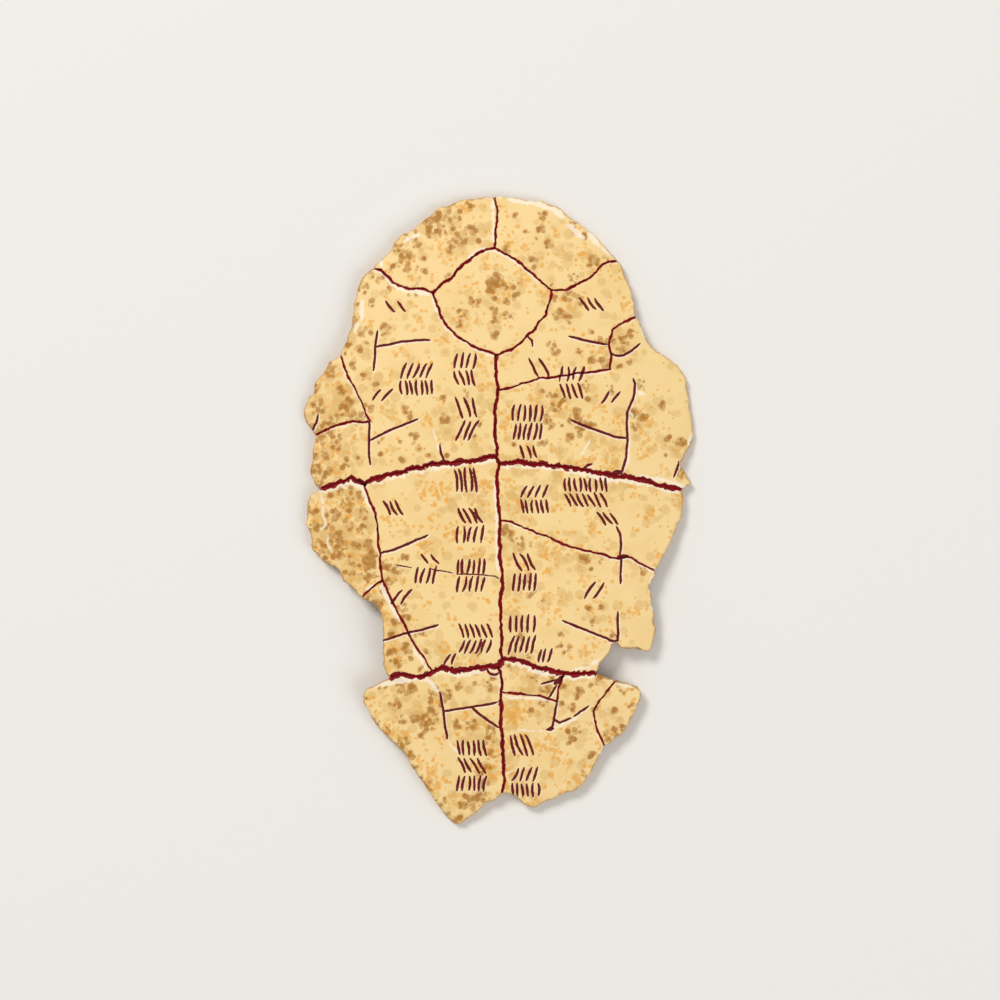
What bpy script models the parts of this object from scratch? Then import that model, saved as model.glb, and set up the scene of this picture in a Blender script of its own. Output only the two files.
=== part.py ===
"""Turtle plastron oracle bone: nine belly bones, five of them broken, lying inscribed face up.

The plastron is a shallow crowned shield. Its bones meet along sutures, and the broken ones also
meet along their breaks. The underside has pairs of chiselled and drilled hollows, one pair behind
each divination crack. X runs to the right, Y to the head end, Z up from the table.
"""

import math

import bmesh
import bpy
from mathutils import Vector, noise

# Overall sizes, in metres
LENGTH = 0.220
WIDTH = 0.1365
CROWN_HEIGHT = 0.0124
RIM_HEIGHT = 0.0032

# Bone thickness in the flat middle, and where the shield has curved down to its rim
MIDDLE_THICKNESS = 0.0058
EDGE_THICKNESS = 0.0046

# The middle panel is flat out to this share of the half length and half width, and from there
# the shield bends down to its rim. The powers shape its plan and its bend.
FLAT_SHARE = 0.36
SHIELD_POWER = 2.4
BEND_POWER = 1.6
# A shallow dish along the middle, as in a male turtle
DISH_DEPTH = 0.0009
DISH_RADIUS = 0.030

# The gap between neighbouring pieces, at a suture or a break
SEAM_GAP = 0.0003
# A corner sharper than this is cut back rather than mitred: 1 plus the cosine of its turn
SHARPEST_MITRE = 0.35

# Hollows on the underside: a long chiselled one beside a round drilled one
CHISEL_LENGTH = 0.0145
CHISEL_WIDTH = 0.0062
CHISEL_DEPTH = 0.0034
DRILL_DIAMETER = 0.0080
DRILL_DEPTH = 0.0028
DRILL_OVERLAP = 0.0012
HOLLOW_SEGMENTS = 12
HOLLOW_RINGS = 8

# Spacing of outline points, and of the grid that lets a plate follow the crown
OUTLINE_STEP = 0.0028
GRID_STEP = 0.0074
# Edges sharper than this stay crisp under smooth shading
SHARP_DEGREES = 35
# Corners straighter than this don't need their point
STRAIGHT_DEGREES = 0.5
# Points closer than this are one point
MERGE_DISTANCE = 1e-6

# How far suture teeth, rubbed rims and breaks can wander from their drawn line
SUTURE_WANDER = 0.00060
RIM_WANDER = 0.00080
BREAK_WANDER = 0.00030
WANDER_WAVE = 0.0028

BONE_COLOUR = (0.90, 0.68, 0.31, 1.0)
BONE_ROUGHNESS = 0.55

# Layout points are in pixels of the reference picture, counted right and up from the middle of
# the plastron, which is this many pixels long and wide there. They scale with LENGTH and WIDTH.
PICTURE_LENGTH = 634
PICTURE_WIDTH = 393

JUNCTIONS = {
    "rim_top": (-5, 317),
    "ento_top": (-5, 264),
    "ento_left": (-68, 219),
    "ento_right": (52, 221),
    "ento_bottom": (-4, 157),
    "shoulder_left": (-129, 245),
    "shoulder_right": (119, 253),
    "armpit_left": (-161, 157),
    "bridge_fork": (-130, 89),
    "bridge_rim": (-188, 76),
    "chest_start": (-3, 120),
    "chest_turn": (111, 142),
    "chest_rim": (137, 196),
    "middle_left": (-3, 54),
    "middle_right": (-1, 47),
    "bridge_top": (-136, 27),
    "waist_left": (-181, 23),
    "waist_right": (184, 22),
    "split_start": (0, -8),
    "split_rim": (157, -59),
    "flank_fork": (-118, -69),
    "flank_rim": (-139, -86),
    "flank_foot": (-67, -160),
    "groin_left": (-111, -167),
    "groin_right": (98, -162),
    "tail_right": (2, -146),
    "tail_left": (-1, -156),
    "corner_top": (65, -162),
    "corner_fork": (57, -190),
    "corner_middle": (2, -180),
    "tip_top": (116, -170),
    "tip_rim": (105, -237),
    "notch": (2, -284),
}

# Each seam: its first junction, the points between, its last junction
SUTURES = {
    "waist_left_inner": ("middle_left", [(-17, 54), (-24, 51), (-45, 49), (-70, 47), (-95, 40), (-120, 34)],
                         "bridge_top"),
    "waist_left_outer": ("bridge_top", [(-149, 33), (-158, 29), (-170, 26)], "waist_left"),
    "waist_right": ("middle_right", [(21, 49), (51, 46), (81, 42), (110, 36), (131, 35), (157, 28)],
                    "waist_right"),
    "tail_left_inner": ("tail_left", [(-20, -155), (-45, -159), (-57, -156)], "flank_foot"),
    "tail_left_outer": ("flank_foot", [(-81, -166), (-99, -163)], "groin_left"),
    "tail_right_inner": ("tail_right", [(16, -149), (40, -156), (55, -161)], "corner_top"),
    "tail_right_outer": ("corner_top", [(82, -163)], "groin_right"),
    "gular_midline": ("rim_top", [(-3, 300), (-4, 282)], "ento_top"),
    "ento_upper_left": ("ento_top", [(-24, 257), (-36, 248), (-49, 235)], "ento_left"),
    "ento_upper_right": ("ento_top", [(10, 256), (22, 248), (38, 233)], "ento_right"),
    "ento_lower_left": ("ento_left", [(-62, 203), (-57, 191), (-45, 177), (-26, 164)], "ento_bottom"),
    "ento_lower_right": ("ento_right", [(48, 205), (40, 190), (28, 175), (12, 163)], "ento_bottom"),
    "shoulder_left": ("shoulder_left", [(-121, 243), (-108, 231), (-94, 224), (-79, 222)], "ento_left"),
    "shoulder_right": ("ento_right", [(66, 222), (82, 229), (93, 237), (104, 249)], "shoulder_right"),
    "upper_midline_head": ("ento_bottom", [(-4, 138)], "chest_start"),
    "upper_midline": ("chest_start", [(-5, 90), (-4, 70)], "middle_left"),
    "middle_step": ("middle_left", [], "middle_right"),
    "lower_midline_head": ("middle_right", [(-2, 25)], "split_start"),
    "lower_midline": ("split_start", [(0, -35), (1, -60), (2, -72), (1, -100), (2, -125)], "tail_right"),
    "tail_step": ("tail_right", [], "tail_left"),
    "tail_midline_head": ("tail_left", [(2, -168)], "corner_middle"),
    "tail_midline": ("corner_middle", [(1, -205), (2, -235), (3, -255)], "notch"),
}
BREAKS = {
    "chest_break": ("chest_start", [(27, 129), (54, 134), (80, 138)], "chest_turn"),
    "chest_break_up": ("chest_turn", [(111, 156), (110, 171), (113, 182), (121, 188)], "chest_rim"),
    "bridge_break": ("armpit_left", [(-155, 143), (-148, 128), (-138, 107)], "bridge_fork"),
    "bridge_break_low": ("bridge_fork", [(-149, 89), (-163, 86), (-177, 81)], "bridge_rim"),
    "flank_break": ("bridge_top", [(-130, 10), (-124, -10), (-121, -35), (-119, -60)], "flank_fork"),
    "flank_break_low": ("flank_fork", [(-129, -77)], "flank_rim"),
    "flank_break_inner": ("flank_fork", [(-108, -89), (-94, -116), (-80, -141)], "flank_foot"),
    "split": ("split_start", [(16, -13), (46, -26), (70, -35), (94, -41), (118, -47), (127, -46), (141, -52)],
              "split_rim"),
    "corner_break": ("corner_middle", [(21, -182), (40, -186)], "corner_fork"),
    "corner_break_up": ("corner_fork", [(59, -175)], "corner_top"),
    "tip_break": ("tip_top", [(107, -183), (95, -201), (99, -222)], "tip_rim"),
}
RIMS = {
    "rim_epi_left": ("rim_top", [(-34, 314), (-52, 309), (-69, 301), (-84, 287), (-100, 276), (-115, 257)],
                     "shoulder_left"),
    "rim_epi_right": ("rim_top", [(11, 316), (34, 314), (53, 309), (76, 293), (99, 277), (110, 264)],
                      "shoulder_right"),
    "rim_hyo_left": ("shoulder_left", [(-140, 233), (-147, 210), (-150, 188), (-156, 171)], "armpit_left"),
    "rim_bridge_left": ("armpit_left", [(-172, 150), (-180, 137), (-188, 129), (-189, 120), (-197, 110),
                                        (-197, 91), (-190, 82)], "bridge_rim"),
    "rim_hyo_left_low": ("bridge_rim", [(-189, 58), (-191, 38), (-187, 28)], "waist_left"),
    "rim_hypo_left": ("waist_left", [(-192, 15), (-196, 1), (-193, -20), (-188, -38), (-178, -50),
                                     (-163, -58), (-157, -71), (-147, -78)], "flank_rim"),
    "rim_flank": ("flank_rim", [(-127, -93), (-119, -105), (-118, -130), (-116, -152)], "groin_left"),
    "rim_xiphi_left": ("groin_left", [(-127, -176), (-139, -184), (-133, -201), (-124, -218), (-108, -232),
                                      (-98, -240), (-88, -259), (-77, -274), (-66, -291), (-55, -306),
                                      (-46, -315), (-39, -316), (-30, -307), (-17, -297)], "notch"),
    "rim_hyo_right_top": ("shoulder_right", [(129, 233), (136, 209)], "chest_rim"),
    "rim_hyo_right": ("chest_rim", [(145, 181), (153, 166), (176, 151), (186, 139), (192, 108),
                                    (195, 84), (196, 73), (189, 59), (182, 49), (189, 38), (193, 28)],
                      "waist_right"),
    "rim_hypo_right": ("waist_right", [(185, 12), (184, 0), (177, -20), (168, -37)], "split_rim"),
    "rim_hypo_right_low": ("split_rim", [(157, -64), (151, -76), (153, -92), (156, -110), (155, -130),
                                         (150, -142), (137, -138), (121, -138), (118, -128), (110, -141),
                                         (102, -152)], "groin_right"),
    "rim_xiphi_right": ("groin_right", [(105, -166)], "tip_top"),
    "rim_tip": ("tip_top", [(130, -173), (142, -180), (138, -198), (128, -218), (117, -230)], "tip_rim"),
    "rim_xiphi_right_low": ("tip_rim", [(97, -252), (86, -272), (77, -281), (65, -284), (48, -292),
                                        (35, -298), (27, -297), (17, -288)], "notch"),
}

# Each plate or fragment is a closed walk along seams; a minus sign walks a seam backwards.
PLATES = {
    "epiplastron_left": ["rim_epi_left", "shoulder_left", "-ento_upper_left", "-gular_midline"],
    "epiplastron_right": ["gular_midline", "ento_upper_right", "shoulder_right", "-rim_epi_right"],
    "entoplastron": ["ento_upper_left", "ento_lower_left", "-ento_lower_right", "-ento_upper_right"],
    "hyoplastron_left": ["-shoulder_left", "rim_hyo_left", "bridge_break", "bridge_break_low",
                         "rim_hyo_left_low", "-waist_left_outer", "-waist_left_inner",
                         "-upper_midline", "-upper_midline_head", "-ento_lower_left"],
    "hyoplastron_left_bridge": ["rim_bridge_left", "-bridge_break_low", "-bridge_break"],
    "hyoplastron_right_upper": ["ento_lower_right", "upper_midline_head", "chest_break",
                                "chest_break_up", "-rim_hyo_right_top", "-shoulder_right"],
    "hyoplastron_right_lower": ["upper_midline", "middle_step", "waist_right", "-rim_hyo_right",
                                "-chest_break_up", "-chest_break"],
    "hypoplastron_left": ["waist_left_inner", "flank_break", "flank_break_inner", "-tail_left_inner",
                          "-tail_step", "-lower_midline", "-lower_midline_head", "-middle_step"],
    "hypoplastron_left_bridge": ["waist_left_outer", "rim_hypo_left", "-flank_break_low", "-flank_break"],
    "hypoplastron_left_flank": ["flank_break_low", "rim_flank", "-tail_left_outer", "-flank_break_inner"],
    "hypoplastron_right_upper": ["lower_midline_head", "split", "-rim_hypo_right", "-waist_right"],
    "hypoplastron_right_lower": ["lower_midline", "tail_right_inner", "tail_right_outer",
                                 "-rim_hypo_right_low", "-split"],
    "xiphiplastron_left": ["tail_left_inner", "tail_left_outer", "rim_xiphi_left", "-tail_midline",
                           "-tail_midline_head"],
    "xiphiplastron_right": ["tail_right_outer", "rim_xiphi_right", "tip_break", "rim_xiphi_right_low",
                            "-tail_midline", "corner_break", "corner_break_up"],
    "xiphiplastron_right_corner": ["tail_step", "tail_midline_head", "corner_break", "corner_break_up",
                                   "-tail_right_inner"],
    "xiphiplastron_right_tip": ["rim_tip", "-tip_break"],
}

# Where the branch leaves the stem of each divination crack, and how far the stem leans, in degrees.
# The hollows on the underside sit behind these places.
CRACKS = {
    "first_left": (-124, 163, -4),
    "second_left": (-130, 70, 0),
    "third_left": (-121, -44, 4),
    "fourth_left": (-90, -123, 29),
    "fifth_left": (-56, -202, 9),
    "first_right": (110, 168, 4),
    "second_right": (127, 74, 2),
    "third_right": (121, -46, 0),
    "fourth_right": (119, -118, 1),
    "fifth_right": (57, -193, -4),
}


def clear_scene():
    for obj in list(bpy.data.objects):
        bpy.data.objects.remove(obj)


def new_collection(name):
    collection = bpy.data.collections.new(name)
    bpy.context.scene.collection.children.link(collection)
    return collection


def bone_material(name):
    material = bpy.data.materials.new(name)
    material.use_nodes = True
    shader = material.node_tree.nodes["Principled BSDF"]
    shader.inputs["Base Color"].default_value = BONE_COLOUR
    shader.inputs["Roughness"].default_value = BONE_ROUGHNESS
    shader.inputs["Metallic"].default_value = 0.0
    return material


def placed(pixel):
    """A layout point in metres."""
    return Vector((pixel[0] * WIDTH / PICTURE_WIDTH, pixel[1] * LENGTH / PICTURE_LENGTH))


def smooth_line(points):
    """Points every OUTLINE_STEP along a Catmull-Rom curve through the given points."""
    ends = [points[0] * 2 - points[1], *points, points[-1] * 2 - points[-2]]
    line = []
    for before, start, end, after in zip(ends, ends[1:], ends[2:], ends[3:]):
        count = max(1, round((end - start).length / OUTLINE_STEP))
        for i in range(count):
            t = i / count
            line.append(
                0.5 * (2 * start + (end - before) * t
                       + (2 * before - 5 * start + 4 * end - after) * t * t
                       + (3 * start - before - 3 * end + after) * t ** 3)
            )
    return line + [points[-1]]


def wandered(line, amount):
    """The line with its inner points moved sideways by a noise that depends only on their place."""
    moved = [line[0]]
    for before, point, after in zip(line, line[1:], line[2:]):
        along = (after - before).normalized()
        sideways = Vector((-along.y, along.x))
        place = Vector((point.x, point.y, 0)) / WANDER_WAVE
        moved.append(point + sideways * amount * noise.noise(place))
    return moved + [line[-1]]


def all_seams():
    """Every suture, break and rim as a line of points."""
    seams = {}
    for table, wander in ((SUTURES, SUTURE_WANDER), (BREAKS, BREAK_WANDER), (RIMS, RIM_WANDER)):
        for name, (first, between, last) in table.items():
            corners = [JUNCTIONS[first], *between, JUNCTIONS[last]]
            seams[name] = wandered(smooth_line([placed(corner) for corner in corners]), wander)
    return seams


def walk(steps, seams):
    """A piece's closed outline as (point, whether the seam that leaves the point has a neighbour)."""
    outline = []
    for step in steps:
        name = step.lstrip("-")
        points = reversed(seams[name]) if step.startswith("-") else seams[name]
        outline += [(point, name not in RIMS) for point in list(points)[:-1]]
    return outline


def signed_area(points):
    following = points[1:] + points[:1]
    return sum(a.x * b.y - b.x * a.y for a, b in zip(points, following)) / 2


def set_back(outline):
    """The outline moved inwards by half of SEAM_GAP where it has a neighbour."""
    turn = math.copysign(1, signed_area([point for point, _ in outline]))
    moved = []
    for i, (point, meets_out) in enumerate(outline):
        before, meets_in = outline[i - 1]
        after = outline[(i + 1) % len(outline)][0]
        into = (point - before).normalized()
        out = (after - point).normalized()
        normal_in = Vector((-into.y, into.x)) * turn
        normal_out = Vector((-out.y, out.x)) * turn
        shift = Vector((0, 0))
        if meets_in and meets_out:
            shift = (normal_in + normal_out) / max(SHARPEST_MITRE, 1 + normal_in.dot(normal_out))
        elif meets_in or meets_out:
            shift = normal_in if meets_in else normal_out
        moved.append(point + shift * SEAM_GAP / 2)
    return moved if turn > 0 else moved[::-1]


def fitted(seams):
    """All seams scaled and centred so that together they measure WIDTH by LENGTH."""
    xs = [point.x for line in seams.values() for point in line]
    ys = [point.y for line in seams.values() for point in line]
    middle = Vector(((min(xs) + max(xs)) / 2, (min(ys) + max(ys)) / 2))
    scale_x = WIDTH / (max(xs) - min(xs))
    scale_y = LENGTH / (max(ys) - min(ys))
    return {
        name: [Vector(((p.x - middle.x) * scale_x, (p.y - middle.y) * scale_y)) for p in line]
        for name, line in seams.items()
    }


def drop_at(x, y):
    """How far the outer face has curved down from the crown."""
    across = abs(x) / (WIDTH / 2)
    along = abs(y) / (LENGTH / 2)
    reach = (across ** SHIELD_POWER + along ** SHIELD_POWER) ** (1 / SHIELD_POWER)
    share = max(0.0, (reach - FLAT_SHARE) / (1 - FLAT_SHARE))
    dish = DISH_DEPTH * math.exp(-((x / DISH_RADIUS) ** 2) - (y / (2 * DISH_RADIUS)) ** 2)
    return (CROWN_HEIGHT - RIM_HEIGHT) * share ** BEND_POWER + dish


def face_height(x, y):
    return CROWN_HEIGHT - drop_at(x, y)


def underside_height(x, y):
    """The inner face, before its lowest parts are ground flat on the table."""
    bent = drop_at(x, y) / (CROWN_HEIGHT - RIM_HEIGHT)
    return face_height(x, y) - MIDDLE_THICKNESS + (MIDDLE_THICKNESS - EDGE_THICKNESS) * bent


def flat_blank(name, outline):
    """The plate sawn out flat: a filled outline with a thickness, as one closed mesh."""
    curve = bpy.data.curves.new(name, "CURVE")
    curve.dimensions = "2D"
    curve.fill_mode = "BOTH"
    curve.extrude = MIDDLE_THICKNESS / 2
    spline = curve.splines.new("POLY")
    spline.points.add(len(outline) - 1)
    for point, corner in zip(spline.points, outline):
        point.co = (corner.x, corner.y, 0, 1)
    spline.use_cyclic_u = True
    blank = bpy.data.objects.new(name + "_blank", curve)
    bpy.context.scene.collection.objects.link(blank)
    bpy.context.view_layer.update()
    evaluated = blank.evaluated_get(bpy.context.evaluated_depsgraph_get())
    mesh = bpy.data.meshes.new_from_object(evaluated)
    bpy.data.objects.remove(blank)
    bpy.data.curves.remove(curve)
    return mesh


def grid_lines(low, high):
    first = math.ceil(low / GRID_STEP)
    return [i * GRID_STEP for i in range(first, math.floor(high / GRID_STEP) + 1)]


def crowned(mesh):
    """Cuts the flat blank on a grid, then bends both of its faces to the shield's curve."""
    bm = bmesh.new()
    bm.from_mesh(mesh)
    bmesh.ops.remove_doubles(bm, verts=bm.verts, dist=MERGE_DISTANCE)
    bmesh.ops.dissolve_limit(
        bm, angle_limit=math.radians(STRAIGHT_DEGREES), verts=bm.verts, edges=bm.edges
    )
    for axis in range(2):
        normal = Vector((1, 0, 0)) if axis == 0 else Vector((0, 1, 0))
        reach = [vert.co[axis] for vert in bm.verts]
        for place in grid_lines(min(reach), max(reach)):
            geometry = bm.verts[:] + bm.edges[:] + bm.faces[:]
            bmesh.ops.bisect_plane(
                bm, geom=geometry, dist=MERGE_DISTANCE, plane_co=normal * place, plane_no=normal
            )
    for vert in bm.verts:
        upper = vert.co.z > 0
        height = face_height if upper else underside_height
        vert.co.z = height(vert.co.x, vert.co.y)
    bmesh.ops.triangulate(bm, faces=bm.faces)
    bmesh.ops.recalc_face_normals(bm, faces=bm.faces)
    bm.to_mesh(mesh)
    bm.free()


def as_cutter(name, collection):
    """The primitive just added, kept out of the finished object."""
    cutter = bpy.context.active_object
    cutter.name = name
    cutter.hide_render = True
    cutter.display_type = "WIRE"
    for holder in list(cutter.users_collection):
        holder.objects.unlink(cutter)
    collection.objects.link(cutter)
    return cutter


def hollow_cutter(name, place, lean, size_along, size_across, depth, collection):
    """A half-buried ellipsoid whose lower half stands clear of the bone."""
    bpy.ops.mesh.primitive_uv_sphere_add(segments=HOLLOW_SEGMENTS, ring_count=HOLLOW_RINGS, radius=1.0)
    cutter = as_cutter(name, collection)
    cutter.scale = (size_across / 2, size_along / 2, depth)
    cutter.rotation_euler = (0, 0, lean)
    cutter.location = (place.x, place.y, underside_height(place.x, place.y))
    return cutter


def table_cutter(collection):
    """A slab just under the table's surface, which grinds the lowest bone flat."""
    bpy.ops.mesh.primitive_cube_add(size=1.0)
    cutter = as_cutter("table_cutter", collection)
    cutter.scale = (2 * WIDTH, 2 * LENGTH, CROWN_HEIGHT)
    cutter.location = (0, 0, -CROWN_HEIGHT / 2)
    return cutter


def hollow_pair(name, crack, collection):
    """The chiselled hollow behind a crack's stem and the drilled one behind its branch."""
    right, up, lean_degrees = crack
    centre = placed((right, up))
    lean = math.radians(lean_degrees)
    towards_midline = -math.copysign(1, right)
    offset = CHISEL_WIDTH / 2 + DRILL_DIAMETER / 2 - DRILL_OVERLAP
    beside = Vector((math.cos(lean), math.sin(lean))) * towards_midline * offset
    return [
        hollow_cutter(name + "_chisel", centre, lean, CHISEL_LENGTH, CHISEL_WIDTH, CHISEL_DEPTH, collection),
        hollow_cutter(name + "_drill", centre + beside, lean, DRILL_DIAMETER, DRILL_DIAMETER, DRILL_DEPTH,
                      collection),
    ]


def reaches(cutter, outline):
    """True if the cutter's box meets the box around the plate's outline."""
    bpy.context.view_layer.update()
    corners = [cutter.matrix_world @ Vector(corner) for corner in cutter.bound_box]
    for axis in range(2):
        cutter_span = [corner[axis] for corner in corners]
        plate_span = [point[axis] for point in outline]
        if min(cutter_span) > max(plate_span) or max(cutter_span) < min(plate_span):
            return False
    return True


def plate_object(name, outline, cutters, collection):
    mesh = flat_blank(name, outline)
    crowned(mesh)
    mesh.name = name
    plate = bpy.data.objects.new(name, mesh)
    collection.objects.link(plate)
    mesh.materials.clear()
    mesh.materials.append(bone_material(name + "_bone"))
    mesh.shade_smooth()
    mesh.set_sharp_from_angle(angle=math.radians(SHARP_DEGREES))
    for cutter in cutters:
        if reaches(cutter, outline):
            cut = plate.modifiers.new(cutter.name, "BOOLEAN")
            cut.operation = "DIFFERENCE"
            cut.solver = "EXACT"
            cut.object = cutter
    return plate


def main():
    clear_scene()
    plates = new_collection("plastron")
    tools = new_collection("plastron_cutters")
    seams = fitted(all_seams())
    cutters = [table_cutter(tools)]
    for name, crack in CRACKS.items():
        cutters += hollow_pair(name, crack, tools)
    for name, steps in PLATES.items():
        plate_object(name, set_back(walk(steps, seams)), cutters, plates)


main()
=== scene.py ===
# %% [markdown]
# # Turtle plastron oracle bone
# A plastron is a turtle's belly shell. Diviners ground it smooth, cut pairs of hollows in its
# inner face and scorched them, so that the outer face cracked. They then cut their record beside
# the cracks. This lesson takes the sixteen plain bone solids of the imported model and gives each
# one a finely worked skin and the colour of old bone.

import itertools
import math
from types import SimpleNamespace

import bmesh
import bpy
import numpy as np
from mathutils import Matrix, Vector
from mathutils.kdtree import KDTree


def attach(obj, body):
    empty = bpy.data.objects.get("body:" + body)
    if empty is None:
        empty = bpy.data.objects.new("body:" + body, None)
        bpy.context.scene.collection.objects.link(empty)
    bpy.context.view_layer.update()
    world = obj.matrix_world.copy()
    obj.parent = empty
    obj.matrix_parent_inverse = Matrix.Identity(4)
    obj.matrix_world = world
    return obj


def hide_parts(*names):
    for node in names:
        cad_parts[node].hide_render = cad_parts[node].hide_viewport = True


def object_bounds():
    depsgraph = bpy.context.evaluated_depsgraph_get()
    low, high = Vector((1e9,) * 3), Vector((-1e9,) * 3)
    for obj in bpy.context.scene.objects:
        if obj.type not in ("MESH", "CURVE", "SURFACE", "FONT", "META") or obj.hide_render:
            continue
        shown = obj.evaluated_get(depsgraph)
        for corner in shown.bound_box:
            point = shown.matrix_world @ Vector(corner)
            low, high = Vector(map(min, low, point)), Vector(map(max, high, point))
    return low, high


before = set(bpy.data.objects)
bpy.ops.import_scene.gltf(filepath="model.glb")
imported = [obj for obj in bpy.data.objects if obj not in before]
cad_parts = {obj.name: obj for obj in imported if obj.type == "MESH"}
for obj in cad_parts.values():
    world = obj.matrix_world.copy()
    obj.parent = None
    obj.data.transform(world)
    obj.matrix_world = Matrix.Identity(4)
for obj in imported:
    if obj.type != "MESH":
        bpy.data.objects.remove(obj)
cad_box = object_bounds()
LOW, HIGH = (np.array(corner) for corner in cad_box)
LENGTH = HIGH[1] - LOW[1]
WIDTH = HIGH[0] - LOW[0]
MM = 0.001
print("plates", len(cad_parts), "in", round(WIDTH / MM, 1), "by", round(LENGTH / MM, 1), "mm")

# %% [markdown]
# ## Where things are on the bone
# Cracks, strokes and stains are placed by pixels of the 1000 by 1000 reference picture, because
# that is how they were read. One function turns them into metres across the plastron, so no other
# cell needs to know about pixels.

# %% Pixels to metres
PICTURE_MIDDLE = (498.5, 510.75)
PICTURE_LENGTH = 634
PIXEL = LENGTH / PICTURE_LENGTH


def on_bone(pixels):
    """Points of the reference picture as metres to the right of and above the plastron's middle."""
    return (np.array(pixels, float) - PICTURE_MIDDLE) * (PIXEL, -PIXEL)


print("one pixel is", round(PIXEL / MM, 4), "mm")

# %% [markdown]
# ## The shield's two faces
# The outer face is a flat middle panel that bends down to the rim, with a shallow dish along the
# midline. The inner face lies a bone's thickness below it, and is flat where it meets the table.
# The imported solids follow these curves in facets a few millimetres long. With the formulas at
# hand, a fine mesh can lie exactly on the smooth curve.

# %% Height of the outer and inner face
CROWN_HEIGHT = 12.4 * MM
RIM_HEIGHT = 3.2 * MM
MIDDLE_THICKNESS = 5.8 * MM
EDGE_THICKNESS = 4.6 * MM
FLAT_SHARE = 0.36
SHIELD_POWER = 2.4
BEND_POWER = 1.6
DISH_DEPTH = 0.9 * MM
DISH_RADIUS = 30 * MM


def outer_height(x, y):
    across = np.abs(x) / (WIDTH / 2)
    along = np.abs(y) / (LENGTH / 2)
    reach = (across ** SHIELD_POWER + along ** SHIELD_POWER) ** (1 / SHIELD_POWER)
    share = np.maximum(0, (reach - FLAT_SHARE) / (1 - FLAT_SHARE))
    dish = DISH_DEPTH * np.exp(-((x / DISH_RADIUS) ** 2) - (y / (2 * DISH_RADIUS)) ** 2)
    return CROWN_HEIGHT - (CROWN_HEIGHT - RIM_HEIGHT) * share ** BEND_POWER - dish


def inner_height(x, y):
    outer = outer_height(x, y)
    bent = (CROWN_HEIGHT - outer) / (CROWN_HEIGHT - RIM_HEIGHT)
    return np.maximum(0, outer - MIDDLE_THICKNESS + (MIDDLE_THICKNESS - EDGE_THICKNESS) * bent)


print("outer face at the middle", np.round(outer_height(0.0, 0.0) / MM, 2), "mm up")

# %% [markdown]
# ## A source of roughness
# Old bone is never even. This noise gives every point of space a value between -1 and 1 that
# changes smoothly over a chosen wavelength. It depends only on the place, so two plates that meet
# at a seam are bent by the same field and their teeth still fit.

# %% Smooth noise at many points at once
LATTICE_SIZE = 65536
LATTICE_STEPS = (73856093, 19349663, 83492791)


def roughness(places, wave, seed):
    """Noise from -1 to 1 at each place, with a random value at every corner of a lattice."""
    grid = places / wave
    cell = np.floor(grid).astype(np.int64)
    inside = grid - cell
    blend = inside * inside * (3 - 2 * inside)
    values = np.random.default_rng(seed).uniform(-1, 1, LATTICE_SIZE)
    total = np.zeros(len(places))
    for corner in itertools.product((0, 1), repeat=places.shape[1]):
        key = ((cell + corner) * LATTICE_STEPS[:places.shape[1]]).sum(axis=1)
        total += values[key % LATTICE_SIZE] * np.where(corner, blend, 1 - blend).prod(axis=1)
    return total


def rise(value, low, high):
    """0 below low, 1 above high, and a smooth step between."""
    share = np.clip((value - low) / (high - low), 0, 1)
    return share * share * (3 - 2 * share)


print("noise at three places", np.round(roughness(np.eye(3), 0.7, 1), 2))

# %% [markdown]
# ## Cracks
# Heat made each crack: a stem along the hollow behind it and a branch towards the midline. Some
# stems later broke right through and are now edges of the plates. The rest are listed here as they
# run in the picture. They could be lines in the material, but a crack catches the light from every
# side, so they are carved into the outer face.

# %% Lines of the cracks
CRACKS = {
    "first_left_stem": [(377, 330), (374.5, 345), (374, 358), (373, 370)],
    "first_left_branch": [(375, 346), (390, 343.5), (402, 341), (416, 340), (430, 340)],
    "second_left_stem": [(369, 422), (368.5, 440), (369, 452), (370, 465)],
    "second_left_branch": [(370, 440), (392, 429.5), (418, 419)],
    "third_left_branch": [(380, 554), (395, 549.5), (408, 544), (428, 535)],
    "fourth_left_branch": [(381, 641), (400, 635.5), (420, 630), (438, 625)],
    "fifth_left_stem": [(440, 693), (443, 710), (444.5, 726), (447, 740)],
    "fifth_left_branch": [(443, 712), (460, 709), (480, 706), (499, 702.5)],
    "fifth_left_spur": [(472, 707.5), (477, 713), (488, 721), (499, 728)],
    "first_right_branch": [(569, 336), (585, 340), (600, 343), (608, 344)],
    "first_right_chip": [(610, 353), (616, 355.5), (624, 355), (633, 349.5), (641, 343)],
    "second_right_stem": [(634, 378), (636, 385), (633.5, 398), (628, 411), (627, 425), (628, 440),
                          (626.5, 458), (621, 474)],
    "second_right_branch": [(571, 420), (588, 427.5), (605, 433), (616, 437), (627, 438)],
    "third_right_stem": [(617, 527), (621, 536), (621, 555), (621, 570), (620.5, 584)],
    "fourth_right_stem": [(618, 612), (618, 626), (619, 641)],
    "fourth_right_branch": [(563, 620.5), (580, 628), (600, 635.5), (612, 640), (619, 641)],
    "fifth_right_stem": [(556, 700), (555, 712), (553, 726), (550, 730), (546.5, 730)],
    "fifth_right_side": [(553, 719), (560, 723.5), (571, 719)],
    "fifth_right_far": [(574, 717), (589, 707)],
    "fifth_right_spur": [(557, 680), (542, 684)],
    "fifth_right_low_spur": [(549, 698), (556, 686)],
    "chest_spur": [(527.5, 336.5), (532, 340), (533, 346)],
    "waist_spur": [(440, 445), (441, 453), (444, 461)],
    "bridge_spur": [(310, 431), (315, 422), (317, 414)],
    "waist_right_spur": [(581, 469), (587, 465.5), (592, 464)],
    "rim_right_spur": [(680, 462), (678, 469), (675, 477)],
    "tail_flake": [(488, 669), (489, 673.5), (495, 675), (498.5, 673)],
}
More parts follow.
